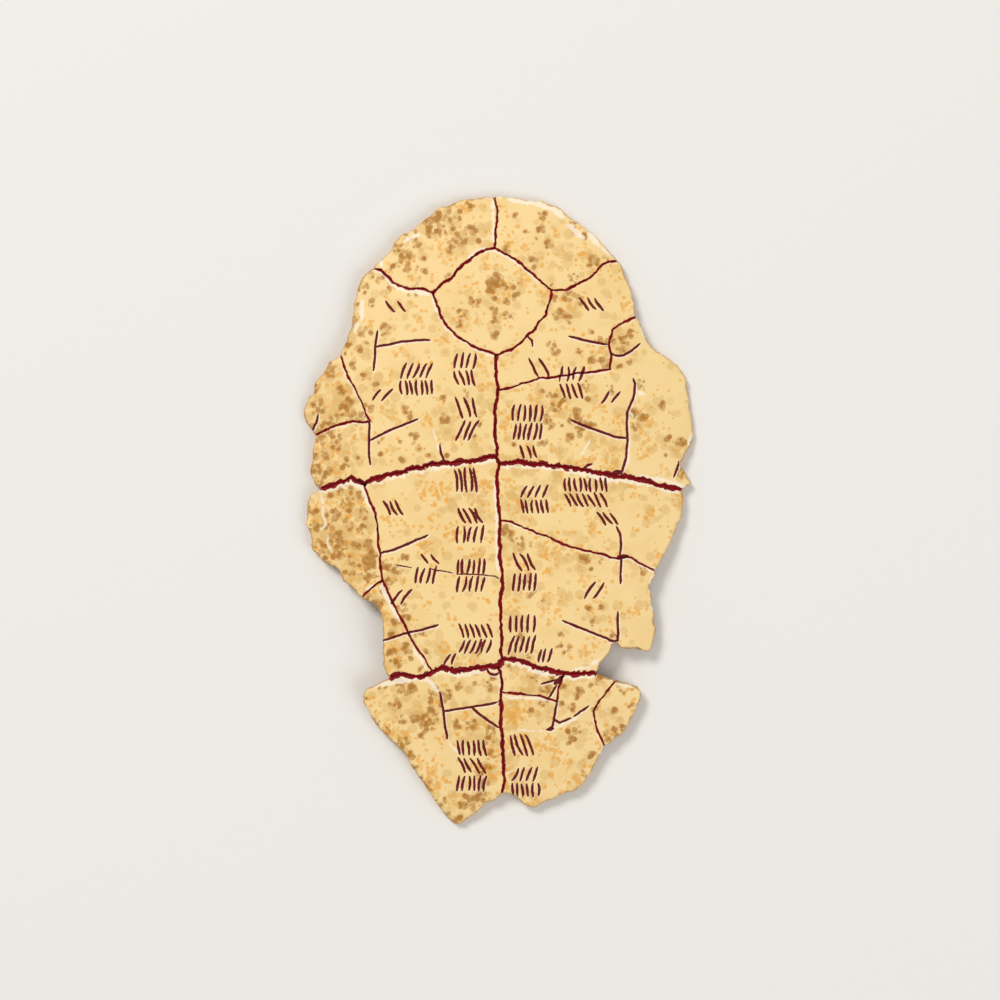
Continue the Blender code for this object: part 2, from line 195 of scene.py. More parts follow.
WEDGES = {
    "tail_wedge": [(564, 676), (560, 680), (555, 684)],
    "bridge_corner": [(358, 481), (362, 482), (366, 485)],
    "waist_step": [(618, 557), (623, 557), (628, 557)],
    "chest_foot": [(613, 473), (621, 472)],
    "tail_loop": [(548, 730), (553, 729)],
}
HAIRLINES = {
    "flank_hairline": [(396, 565), (412, 567.5)],
    "flank_hairline_middle": [(430, 569), (453, 573)],
    "flank_hairline_end": [(457, 574), (478, 574.5), (495, 576), (499.5, 579)],
}
CRACK_WIDTH = 0.90 * MM
CRACK_DEPTH = 0.45 * MM
WEDGE_WIDTH = 1.60 * MM
WEDGE_DEPTH = 0.60 * MM
HAIRLINE_WIDTH = 0.50 * MM
HAIRLINE_DEPTH = 0.30 * MM
print("cracks", len(CRACKS), "wedges", len(WEDGES), "hairlines", len(HAIRLINES))

# %% [markdown]
# ## The record beside the cracks
# The record is kept as marks of the tool only: rows of short parallel cuts that spell nothing,
# each row with a slant of its own. Small groups of two or three cuts stand where the cracks are
# numbered. Listing every cut would take hundreds of lines, so a place and a seeded chance make
# them.

# %% Places of the cut marks, as left, top, right and bottom pixels
SIGN_PLACES = [
    (454, 352, 476, 387), (456, 396, 478, 442), (400, 362, 433, 396), (454, 466, 477, 494),
    (457, 506, 483, 544), (457, 558, 485, 593), (415, 566, 436, 585), (459, 623, 492, 654),
    (445, 653, 456, 666), (457, 740, 486, 794), (528, 357, 549, 380), (513, 404, 542, 441),
    (560, 365, 583, 400), (520, 445, 537, 459), (521, 484, 548, 514), (564, 477, 607, 508),
    (513, 552, 536, 592), (510, 613, 535, 655), (538, 648, 551, 663), (509, 733, 533, 759),
    (512, 768, 539, 800),
]
COUNT_PLACES = [
    (386, 299, 405, 312), (372, 388, 392, 402), (382, 500, 404, 516), (391, 588, 412, 605),
    (580, 296, 604, 311), (601, 390, 621, 404), (597, 511, 619, 526), (584, 582, 605, 599),
    (421, 553, 439, 565),
]
STROKE_WIDTH = 1.00 * MM
STROKE_DEPTH = 0.36 * MM
SIGN_ROW = 19.0
SIGN_GAP = 4.9
COUNT_GAP = 4.8
SIGN_SLANTS = (78, 108, 66, 97, 118, 84)
COUNT_SLANTS = (124, 52)
ROW_SHARE = 0.44
PLACE_SHARE = 0.34
SHIFT = 0.4
LEAN = 0.10
LENGTH_SHARES = (0.82, 1.0)
BOW = 0.15


def parallel_cuts(place, rows, slants, least_gap, chance):
    """Rows of parallel cuts that fill a place, each row with one slant of its own."""
    left, top, right, bottom = place
    width, height = right - left, (bottom - top) / rows
    cuts = []
    for row in range(rows):
        slant = math.radians(slants[row % len(slants)])
        along, across = math.cos(slant), math.sin(slant)
        half = min(height * ROW_SHARE / across, width * PLACE_SHARE / max(abs(along), 0.01))
        room = width - 2 * half * abs(along)
        count = max(2, 1 + int(room * across / least_gap))
        for middle_x in np.linspace(-room / 2, room / 2, count) + (left + right) / 2:
            middle = np.array([middle_x, top + (row + 0.5) * height]) + chance.uniform(-SHIFT, SHIFT, 2)
            lean = slant + chance.uniform(-LEAN, LEAN)
            reach = np.array([math.cos(lean), -math.sin(lean)]) * half * chance.uniform(*LENGTH_SHARES)
            bend = np.array([-reach[1], reach[0]]) * chance.uniform(-BOW, BOW)
            cuts.append([middle + t * reach + (1 - t * t) * bend for t in (-1, -0.5, 0, 0.5, 1)])
    return cuts


chance = np.random.default_rng(7)
cuts = []
for i, place in enumerate(SIGN_PLACES):
    rows = max(1, round((place[3] - place[1]) / SIGN_ROW))
    slants = SIGN_SLANTS[i % len(SIGN_SLANTS):] + SIGN_SLANTS[:i % len(SIGN_SLANTS)]
    cuts += parallel_cuts(place, rows, slants, SIGN_GAP, chance)
for i, place in enumerate(COUNT_PLACES):
    cuts += parallel_cuts(place, 1, COUNT_SLANTS[i % 2:], COUNT_GAP, chance)
print("cuts", len(cuts))

# %% [markdown]
# ## Lines as cutting paths
# A crack or a cut is a path with a width that tapers at both ends, as a graver leaves it. More than
# two hundred boolean cutters would leave slivers where they meet. Each path is split into short
# straight stretches instead, and the distance from a point to the nearest stretch says how deep
# the groove is there.

# %% Paths with their widths and depths
STRETCH = 1.0 * MM
TAPER = 1.3 * MM
TIP_SHARE = 0.6


def cutting_path(pixels, width, depth):
    """Stretches of a path as rows of x0, y0, x1, y1, half width at both ends, depth."""
    corners = on_bone(pixels)
    steps = np.linalg.norm(np.diff(corners, axis=0), axis=1)
    along = np.concatenate([[0], np.cumsum(steps)])
    stops = np.linspace(0, along[-1], max(2, round(along[-1] / STRETCH) + 1))
    points = np.stack([np.interp(stops, along, corners[:, axis]) for axis in (0, 1)], axis=1)
    from_end = np.minimum(stops, along[-1] - stops)
    half = width / 2 * (TIP_SHARE + (1 - TIP_SHARE) * rise(from_end, 0, min(TAPER, along[-1] / 2)))
    deep = np.full(len(points) - 1, depth)
    return np.column_stack([points[:-1], points[1:], half[:-1], half[1:], deep])


crack_paths = np.concatenate(
    [cutting_path(line, CRACK_WIDTH, CRACK_DEPTH) for line in CRACKS.values()]
    + [cutting_path(line, WEDGE_WIDTH, WEDGE_DEPTH) for line in WEDGES.values()]
    + [cutting_path(line, HAIRLINE_WIDTH, HAIRLINE_DEPTH) for line in HAIRLINES.values()]
)
stroke_paths = np.concatenate([cutting_path(cut, STROKE_WIDTH, STROKE_DEPTH) for cut in cuts])
dark_paths = np.concatenate([crack_paths, stroke_paths])
print("stretches of crack", len(crack_paths), "and of cut", len(stroke_paths))

# %% Distance from many points to the nearest path
PATH_REACH = 2.5 * MM
THINNEST = 0.1 * MM


def nearest_path(points, paths):
    """For each point: distance past the groove's edge, half width, depth, and the way back to it."""
    gap = np.full(len(points), PATH_REACH)
    half = np.full(len(points), THINNEST)
    deep = np.zeros(len(points))
    away = np.zeros((len(points), 2))
    low, high = points.min(axis=0) - PATH_REACH, points.max(axis=0) + PATH_REACH
    ends = paths[:, :4].reshape(-1, 2, 2)
    here = ((ends.max(axis=1) > low) & (ends.min(axis=1) < high)).all(axis=1)
    for x0, y0, x1, y1, half0, half1, depth in paths[here]:
        start, end = np.array([x0, y0]), np.array([x1, y1])
        box_low, box_high = np.minimum(start, end) - PATH_REACH, np.maximum(start, end) + PATH_REACH
        near = np.flatnonzero(((points > box_low) & (points < box_high)).all(axis=1))
        if len(near) == 0:
            continue
        run = end - start
        back = points[near] - start
        share = np.clip(back @ run / (run @ run), 0, 1)
        off = back - share[:, None] * run
        width = half0 + (half1 - half0) * share
        past = np.linalg.norm(off, axis=1) - width
        better = past < gap[near]
        chosen = near[better]
        gap[chosen] = past[better]
        half[chosen] = width[better]
        deep[chosen] = depth
        away[chosen] = off[better]
    return gap, half, deep, away


on_stem = nearest_path(on_bone(CRACKS["first_left_stem"][1:2]), dark_paths)
print("first stem", round(2 * on_stem[1][0] / MM, 2), "mm wide,", round(on_stem[2][0] / MM, 2), "mm deep")

# %% [markdown]
# ## Seams
# Two plates meet at a suture, which grew in life, or at a break, which happened later. A break is
# a thin line and a suture a crumbled one. The sutures at the head end are fine, the midline is
# wider, and those that run across the shell are the widest. The rim is an edge with nothing beyond
# it. The kind could be written down for every edge, but it is read from the plates themselves, so
# that it stays true when a size changes: each top edge is sampled, and its nearest neighbour tells
# which bone lies across it.

# %% Top edges of every plate and the kind of seam along them
RIM, BREAK, FINE_SUTURE, SUTURE, WIDE_SUTURE = range(5)
MERGE_DISTANCE = 0.001 * MM
EDGE_SAMPLE = 0.12 * MM
NEIGHBOUR = 0.45 * MM
UPWARD = 0.6
STEEP = 0.3
WAIST_BONES = ("hyoplastron", "hypoplastron", "xiphiplastron")


def merged_bmesh(node):
    """The CAD plate as one closed mesh: its triangles come loose, so equal corners are joined."""
    bm = bmesh.new()
    bm.from_mesh(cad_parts[node].data)
    bmesh.ops.remove_doubles(bm, verts=bm.verts, dist=MERGE_DISTANCE)
    bm.normal_update()
    return bm


def top_edge_points(bm):
    points = []
    for edge in bm.edges:
        tilts = [face.normal.z for face in edge.link_faces]
        if max(tilts) > UPWARD and min(abs(tilt) for tilt in tilts) < STEEP:
            start, end = (np.array(vert.co[:2]) for vert in edge.verts)
            count = max(1, round(np.linalg.norm(end - start) / EDGE_SAMPLE))
            points += [start + (end - start) * i / count for i in range(count)]
    return np.array(points)


def bone_of(node):
    """The bone that a plate or fragment is part of, such as ('hyoplastron', 'left')."""
    return tuple(node.split("_")[:2])


def seam_kind(node, other):
    if other is None:
        return RIM
    if bone_of(node) == bone_of(other):
        return BREAK
    kinds = {bone_of(node)[0], bone_of(other)[0]}
    if not kinds <= set(WAIST_BONES):
        return FINE_SUTURE
    return WIDE_SUTURE if len(kinds) == 2 else SUTURE


NODES = sorted(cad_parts)
edge_points = {}
for node in NODES:
    bm = merged_bmesh(node)
    edge_points[node] = top_edge_points(bm)
    bm.free()
everywhere = np.concatenate([edge_points[node] for node in NODES])
owners = np.repeat(np.arange(len(NODES)), [len(edge_points[node]) for node in NODES])
everywhere_tree = KDTree(len(everywhere))
for i, (x, y) in enumerate(everywhere):
    everywhere_tree.insert((x, y, 0), i)
everywhere_tree.balance()


def edge_kinds(node):
    """The kind of seam at every sampled point of a plate's top edge."""
    mine = NODES.index(node)
    kinds = []
    for x, y in edge_points[node]:
        found = sorted(everywhere_tree.find_range((x, y, 0), NEIGHBOUR), key=lambda hit: hit[2])
        others = [NODES[owners[i]] for _, i, _ in found if owners[i] != mine]
        kinds.append(seam_kind(node, others[0] if others else None))
    return np.array(kinds)


kinds_of = {node: edge_kinds(node) for node in NODES}
counts = np.bincount(np.concatenate(list(kinds_of.values())))
print("edge samples", len(everywhere), "of kinds", counts)

# %% How each of the five kinds is worn: dark line on this side, its teeth, slope width and depth
SEAM_INK = np.array([-0.50, 0.33, 0.38, 0.50, 0.80]) * MM
SEAM_TEETH = np.array([0, 0.10, 0.15, 0.18, 0.46]) * MM
SEAM_SLOPE = np.array([0.90, 0.42, 0.50, 0.60, 0.85]) * MM
SEAM_DROP = np.array([0.80, 0.32, 0.36, 0.42, 0.60]) * MM


class Edges:
    """Looks up, for points on a plate, the nearest point of its top edge and the seam there."""

    def __init__(self, node):
        self.points = edge_points[node]
        self.kinds = kinds_of[node]
        self.tree = KDTree(len(self.points))
        for i, (x, y) in enumerate(self.points):
            self.tree.insert((x, y, 0), i)
        self.tree.balance()

    def nearest(self, places):
        found = [self.tree.find((x, y, 0))[1:] for x, y in places]
        index = np.array([i for i, _ in found])
        return index, np.array([far for _, far in found])


edges_of = {node: Edges(node) for node in NODES}
print("edge trees", len(edges_of))

# %% [markdown]
# ## An even skin, finer where it is carved
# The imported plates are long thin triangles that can't hold a groove. A voxel remesh turns them
# into even squares. These are halved again near seams, cracks and cuts, because a groove under a
# millimetre wide needs several points across it, while the plain bone between needs few. The inner
# face stays coarse, except around the pairs of hollows that were chiselled and drilled behind the
# cracks.

# %% Remesh and refine
SKIN_STEP = 0.80 * MM
MEDIUM_STEP = 0.40 * MM
FINE_STEP = 0.20 * MM
FINE_REACH = 0.45 * MM
TOP_SHARE = 0.6
LONG_EDGE = 1.3
HOLLOWS = [
    (374.5, 348, -4), (369, 441, 0), (378, 555, 4), (409, 634, 29), (443, 713, 9),
    (609, 343, 4), (626, 437, 2), (620, 557, 0), (618, 629, 1), (556, 704, -4),
]
DRILL_OFFSET = 5.9 * MM
HOLLOW_REACH = 8.0 * MM
hollow_centres = on_bone([(x, y) for x, y, _ in HOLLOWS])
leans = np.radians([lean for _, _, lean in HOLLOWS])
ACROSS = np.stack([np.cos(leans), np.sin(leans)], axis=1)
ALONG = np.stack([-np.sin(leans), np.cos(leans)], axis=1)
drill_centres = hollow_centres - np.sign(hollow_centres[:, :1]) * DRILL_OFFSET * ACROSS


def thickness_share(places):
    """0 on the inner face and 1 on the outer face, for points anywhere in the bone."""
    low = inner_height(places[:, 0], places[:, 1])
    high = outer_height(places[:, 0], places[:, 1])
    return np.clip((places[:, 2] - low) / (high - low), 0, 1)


def wanted_step(node, places):
    """How far apart points should be, at each place on a plate."""
    step = np.full(len(places), SKIN_STEP)
    top = np.flatnonzero(thickness_share(places) > TOP_SHARE)
    step[top] = MEDIUM_STEP
    flat = places[top, :2]
    line_gap = nearest_path(flat, dark_paths)[0]
    edge_gap = edges_of[node].nearest(flat)[1]
    step[top[np.minimum(line_gap, edge_gap) < FINE_REACH]] = FINE_STEP
    under = np.flatnonzero(thickness_share(places) <= TOP_SHARE)
    off = places[under, None, :2] - hollow_centres[None]
    step[under[np.linalg.norm(off, axis=2).min(axis=1) < HOLLOW_REACH]] = MEDIUM_STEP
    return step


def even_skin(node):
    """The plate's closed surface as even squares."""
    bm = merged_bmesh(node)
    mesh = bpy.data.meshes.new(node + "_bone")
    bm.to_mesh(mesh)
    bm.free()
    plate = bpy.data.objects.new(node + "_bone", mesh)
    bpy.context.scene.collection.objects.link(plate)
    remesh = plate.modifiers.new("even_skin", "REMESH")
    remesh.mode = "VOXEL"
    remesh.voxel_size = SKIN_STEP
    evaluated = plate.evaluated_get(bpy.context.evaluated_depsgraph_get())
    skin = bpy.data.meshes.new_from_object(evaluated)
    plate.modifiers.clear()
    plate.data = skin
    return plate


def refine(node, plate):
    """Halves the squares near seams, cracks and cuts, and again right beside them."""
    bm = bmesh.new()
    bm.from_mesh(plate.data)
    for _ in range(2):
        bm.verts.index_update()
        step = wanted_step(node, np.array([vert.co for vert in bm.verts]))
        long_edges = [
            edge for edge in bm.edges
            if edge.calc_length() > LONG_EDGE * min(step[vert.index] for vert in edge.verts)
        ]
        bmesh.ops.subdivide_edges(bm, edges=long_edges, cuts=1, use_grid_fill=True)
    bm.to_mesh(plate.data)
    bm.free()


plates = {}
for node in NODES:
    plates[node] = even_skin(node)
    refine(node, plates[node])
print("faces", sum(len(plate.data.polygons) for plate in plates.values()))

# %% [markdown]
# ## Stains
# Soil stained the bone in round spots. Brown ones crowd together on the left bridge and along the
# rim, small ochre ones drift over the clear bone, and broad faint tan ones lie under both. A noise
# texture alone would spread them evenly, so they are placed in clusters. Each cluster below says
# where its middle is, how far it spreads in pixels and how many spots it holds, which the crowding
# of its kind then multiplies. A seeded scatter makes the spots. The bone remembers how far every
# point is from the nearest one, so that a spot's edge stays round and sharp on any mesh. Spots are
# dealt out to a few layers of their kind, and where layers overlap they darken each other.

# %% Clusters of brown spots: x, y, spread and number
BROWN_CLUSTERS = [
    (434, 220, 9, 30), (430, 230, 5, 8), (442, 231, 5, 5), (452, 213, 8, 6), (454, 202, 2, 2),
    (470, 204, 4, 5), (453, 227, 1, 2), (471, 229, 5, 5), (459, 239, 6, 6), (479, 239, 1, 2),
    (449, 246, 5, 6), (416, 241, 4, 4), (410, 230, 8, 8), (396, 245, 5, 5), (406, 257, 7, 11),
    (424, 257, 1, 2), (407, 266, 4, 3), (393, 265, 4, 3), (423, 270, 6, 3), (447, 277, 4, 2),
    (516, 213, 2, 2), (542, 213, 4, 5), (541, 226, 4, 6), (525, 231, 2, 2), (547, 244, 4, 4),
    (577, 226, 7, 6), (585, 234, 4, 3), (506, 249, 4, 3), (534, 260, 5, 4), (593, 261, 6, 8),
    (607, 256, 2, 1), (573, 278, 5, 4), (536, 237, 1, 1), (549, 285, 4, 2), (492, 286, 6, 16),
    (498, 280, 6, 14), (512, 285, 6, 5), (516, 296, 3, 4), (506, 301, 2, 3), (475, 301, 5, 6),
    (462, 313, 4, 5), (460, 324, 4, 5), (494, 298, 2, 2), (494, 310, 3, 4), (495, 320, 3, 4),
    (495, 335, 3, 6), (507, 316, 3, 3), (376, 273, 6, 6), (363, 286, 5, 5), (371, 302, 3, 4),
    (391, 284, 4, 4), (412, 291, 8, 4), (357, 304, 4, 3), (355, 319, 5, 4), (384, 329, 6, 7),
    (365, 331, 5, 4), (347, 341, 4, 6), (363, 346, 5, 5), (344, 353, 1, 2), (353, 365, 4, 3),
    (376, 383, 2, 4), (363, 375, 4, 3), (369, 406, 4, 4), (405, 410, 4, 4), (411, 417, 5, 4),
    (414, 438, 5, 5), (383, 442, 4, 2), (381, 454, 1, 3), (402, 461, 2, 2), (424, 452, 5, 3),
    (444, 398, 2, 4), (445, 419, 4, 6), (447, 456, 1, 3), (466, 393, 3, 2), (479, 425, 2, 2),
    (400, 441, 1, 1), (475, 436, 1, 1), (330, 369, 6, 7), (314, 386, 4, 4), (341, 389, 4, 6),
    (346, 402, 5, 9), (343, 411, 5, 8), (357, 417, 7, 9), (333, 420, 5, 4), (316, 406, 7, 9),
    (320, 426, 8, 8), (316, 437, 7, 7), (334, 436, 6, 6), (336, 446, 4, 3), (323, 455, 4, 5),
    (313, 456, 3, 4), (314, 470, 5, 9), (320, 480, 7, 5), (327, 471, 3, 4), (345, 459, 2, 3),
    (345, 467, 3, 4), (357, 457, 1, 3), (328, 495, 2, 2), (342, 488, 13, 10), (361, 497, 4, 4),
    (347, 505, 6, 10), (332, 515, 6, 9), (363, 514, 5, 6), (361, 529, 4, 5), (323, 524, 4, 3),
    (334, 536, 7, 12), (338, 546, 7, 11), (356, 547, 4, 6), (337, 555, 6, 8), (369, 545, 5, 10),
    (370, 557, 6, 14), (370, 567, 6, 11), (351, 560, 5, 4), (370, 579, 6, 7), (327, 558, 5, 5),
    (342, 575, 6, 3), (310, 512, 5, 6), (311, 527, 5, 6), (318, 548, 6, 7), (348, 522, 7, 4),
    (355, 572, 7, 4), (366, 598, 5, 4), (377, 602, 5, 7), (385, 591, 3, 3), (396, 622, 4, 6),
    (405, 617, 4, 6), (391, 635, 3, 4), (404, 645, 4, 6), (392, 654, 4, 5), (396, 663, 5, 5),
    (409, 655, 4, 3), (419, 668, 3, 3), (400, 673, 5, 2), (405, 558, 3, 6), (386, 566, 5, 7),
    (398, 570, 4, 6), (391, 581, 5, 6), (402, 608, 4, 3), (420, 634, 4, 3), (427, 652, 2, 2),
    (479, 652, 2, 2), (569, 296, 6, 6), (579, 301, 4, 3), (555, 298, 2, 2), (560, 315, 6, 10),
    (569, 318, 4, 4), (592, 332, 1, 2), (604, 341, 5, 6), (606, 363, 5, 6), (594, 360, 4, 5),
    (578, 351, 2, 3), (556, 351, 4, 4), (551, 343, 4, 3), (632, 331, 5, 6), (622, 343, 7, 9),
    (612, 339, 3, 3), (629, 360, 3, 3), (619, 366, 2, 3), (611, 388, 4, 4), (542, 391, 2, 2),
    (552, 393, 5, 4), (561, 401, 3, 4), (555, 408, 5, 6), (547, 418, 4, 6), (549, 425, 4, 4),
    (562, 425, 1, 2), (577, 411, 4, 4), (575, 419, 5, 5), (583, 424, 5, 8), (579, 430, 5, 5),
    (592, 424, 3, 4), (585, 386, 5, 4), (588, 398, 2, 2), (570, 438, 3, 4), (543, 443, 4, 3),
    (513, 445, 1, 2), (632, 412, 4, 4), (638, 415, 5, 8), (645, 416, 3, 4), (636, 426, 3, 3),
    (663, 405, 3, 5), (641, 384, 4, 4), (672, 438, 4, 5), (683, 442, 4, 7), (667, 455, 1, 2),
    (683, 474, 5, 5), (507, 531, 5, 9), (513, 537, 4, 5), (521, 543, 5, 4), (523, 548, 3, 2),
    (531, 544, 2, 1), (585, 560, 5, 8), (601, 562, 2, 2), (591, 569, 1, 2), (645, 571, 4, 4),
    (527, 579, 3, 4), (530, 593, 5, 3), (588, 608, 2, 3), (600, 607, 2, 3), (592, 621, 4, 2),
    (561, 635, 2, 3), (564, 648, 6, 4), (614, 635, 2, 3), (520, 636, 3, 4), (530, 655, 3, 2),
    (543, 600, 1, 1), (366, 698, 2, 2), (381, 688, 4, 3), (403, 688, 7, 13), (413, 689, 4, 6),
    (395, 705, 5, 7), (434, 691, 5, 5), (446, 695, 5, 9), (442, 704, 3, 3), (430, 701, 3, 4),
    (430, 710, 3, 5), (403, 720, 4, 4), (416, 719, 4, 5), (424, 721, 5, 7), (433, 719, 5, 6),
    (428, 729, 7, 7), (420, 738, 3, 4), (402, 745, 6, 11), (409, 757, 4, 6), (413, 769, 4, 4),
    (420, 780, 4, 4), (385, 734, 4, 4), (375, 722, 4, 3), (457, 724, 4, 6), (472, 726, 5, 6),
    (490, 731, 5, 7), (489, 741, 4, 5), (490, 756, 4, 4), (487, 769, 3, 4), (481, 775, 2, 4),
    (486, 785, 4, 4), (482, 797, 5, 4), (466, 798, 3, 4), (463, 808, 4, 7), (474, 805, 6, 9),
    (457, 822, 4, 6), (440, 804, 5, 6), (426, 788, 5, 5), (447, 817, 4, 3), (459, 686, 3, 3),
    (489, 687, 4, 5), (475, 683, 1, 1), (492, 677, 3, 3), (509, 667, 2, 2), (538, 678, 6, 4),
    (545, 689, 5, 6), (553, 676, 3, 3), (562, 687, 3, 5), (561, 704, 2, 3), (591, 685, 2, 3),
    (580, 691, 4, 6), (576, 697, 2, 3), (571, 707, 4, 4), (542, 703, 4, 3), (530, 711, 2, 3),
    (568, 732, 1, 3), (578, 730, 4, 2), (571, 741, 4, 6), (592, 757, 3, 4), (599, 679, 5, 6),
    (584, 775, 3, 2), (616, 712, 3, 4), (631, 707, 2, 3), (615, 731, 3, 5), (625, 728, 3, 4),
    (610, 739, 6, 8), (620, 735, 5, 4), (626, 686, 7, 5), (594, 712, 3, 3),
]
print("brown clusters", len(BROWN_CLUSTERS))

# %% Clusters of ochre spots
OCHRE_CLUSTERS = [
    (468, 214, 12, 16), (447, 258, 8, 10), (413, 264, 12, 15), (392, 262, 8, 8), (437, 241, 9, 12),
    (435, 275, 4, 3), (488, 230, 4, 4), (512, 234, 10, 14), (522, 250, 7, 7), (552, 255, 12, 11),
    (582, 256, 10, 12), (556, 231, 3, 3), (605, 262, 6, 4), (490, 262, 9, 10), (468, 283, 10, 13),
    (503, 292, 9, 12), (519, 281, 9, 10), (545, 295, 8, 10), (467, 324, 7, 8), (505, 322, 8, 8),
    (482, 320, 6, 5), (367, 320, 5, 6), (418, 318, 12, 11), (443, 342, 5, 6), (401, 350, 8, 8),
    (350, 350, 8, 6), (388, 290, 6, 4), (436, 302, 3, 2), (387, 376, 8, 6), (425, 365, 6, 5),
    (481, 366, 6, 8), (453, 367, 4, 3), (484, 388, 6, 8), (436, 402, 10, 8), (401, 417, 8, 9),
    (386, 413, 6, 6), (427, 420, 6, 9), (390, 450, 5, 4), (458, 440, 6, 8), (481, 418, 3, 3),
    (335, 400, 14, 20), (325, 380, 12, 9), (318, 448, 12, 14), (330, 465, 12, 11), (345, 440, 12, 9),
    (323, 515, 12, 18), (345, 502, 14, 15), (355, 525, 10, 10), (330, 545, 12, 13), (350, 566, 14, 16),
    (372, 590, 8, 8), (383, 616, 8, 12), (388, 650, 9, 12), (402, 640, 8, 8), (396, 671, 10, 10),
    (435, 492, 13, 38), (421, 485, 8, 10), (465, 480, 8, 8), (487, 484, 7, 18), (476, 500, 7, 7),
    (452, 532, 8, 26), (462, 520, 8, 7), (397, 528, 9, 14), (435, 522, 8, 8), (424, 546, 7, 13),
    (384, 520, 4, 5), (400, 580, 8, 5), (480, 558, 9, 9), (488, 542, 5, 5), (465, 570, 6, 5),
    (428, 606, 4, 6), (453, 618, 4, 4), (446, 646, 6, 6), (487, 602, 3, 3), (470, 656, 9, 6),
    (551, 360, 8, 6), (600, 349, 9, 11), (588, 338, 8, 6), (506, 364, 5, 4), (628, 302, 8, 10),
    (620, 275, 5, 4), (567, 304, 8, 8), (517, 388, 3, 4), (505, 420, 8, 13), (537, 402, 8, 9),
    (560, 412, 12, 13), (597, 414, 9, 9), (617, 422, 8, 11), (645, 418, 9, 10), (650, 436, 9, 9),
    (645, 453, 6, 9), (663, 470, 5, 4), (591, 438, 6, 5), (604, 459, 13, 26), (580, 464, 9, 8),
    (532, 457, 7, 6), (506, 486, 8, 15), (512, 508, 9, 11), (528, 498, 7, 8), (557, 508, 4, 5),
    (634, 491, 6, 10), (657, 492, 3, 4), (592, 522, 7, 8), (636, 529, 3, 6), (651, 516, 5, 6),
    (597, 543, 13, 12), (681, 498, 5, 6), (660, 555, 5, 4), (548, 551, 9, 16), (563, 548, 8, 8),
    (579, 549, 6, 6), (545, 570, 4, 7), (555, 593, 10, 12), (585, 580, 5, 6), (594, 604, 7, 9),
    (553, 615, 10, 14), (512, 606, 6, 7), (613, 620, 4, 7), (630, 615, 4, 5), (639, 611, 4, 5),
    (647, 607, 3, 4), (592, 645, 7, 13), (585, 655, 5, 5), (522, 570, 7, 8), (568, 656, 5, 3),
    (374, 709, 9, 10), (394, 731, 12, 22), (403, 740, 8, 8), (441, 739, 5, 5), (466, 720, 9, 17),
    (457, 732, 5, 5), (480, 722, 5, 5), (430, 764, 9, 14), (434, 785, 10, 22), (447, 783, 3, 4),
    (456, 802, 9, 10), (492, 752, 6, 12), (492, 773, 7, 24), (475, 768, 6, 6), (419, 764, 6, 6),
    (433, 702, 4, 4), (490, 718, 5, 4), (512, 713, 9, 34), (520, 719, 7, 12), (530, 709, 6, 6),
    (505, 744, 5, 9), (518, 742, 8, 12), (539, 744, 5, 7), (550, 744, 6, 13), (556, 756, 6, 9),
    (568, 767, 5, 7), (550, 778, 5, 5), (563, 790, 7, 9), (580, 781, 7, 9), (530, 803, 9, 11),
    (507, 772, 6, 16), (511, 788, 6, 8), (525, 778, 5, 5), (592, 728, 3, 3), (600, 747, 4, 6),
    (606, 733, 6, 9), (633, 706, 6, 8), (520, 672, 9, 6), (530, 699, 12, 10),
]
print("ochre clusters", len(OCHRE_CLUSTERS))

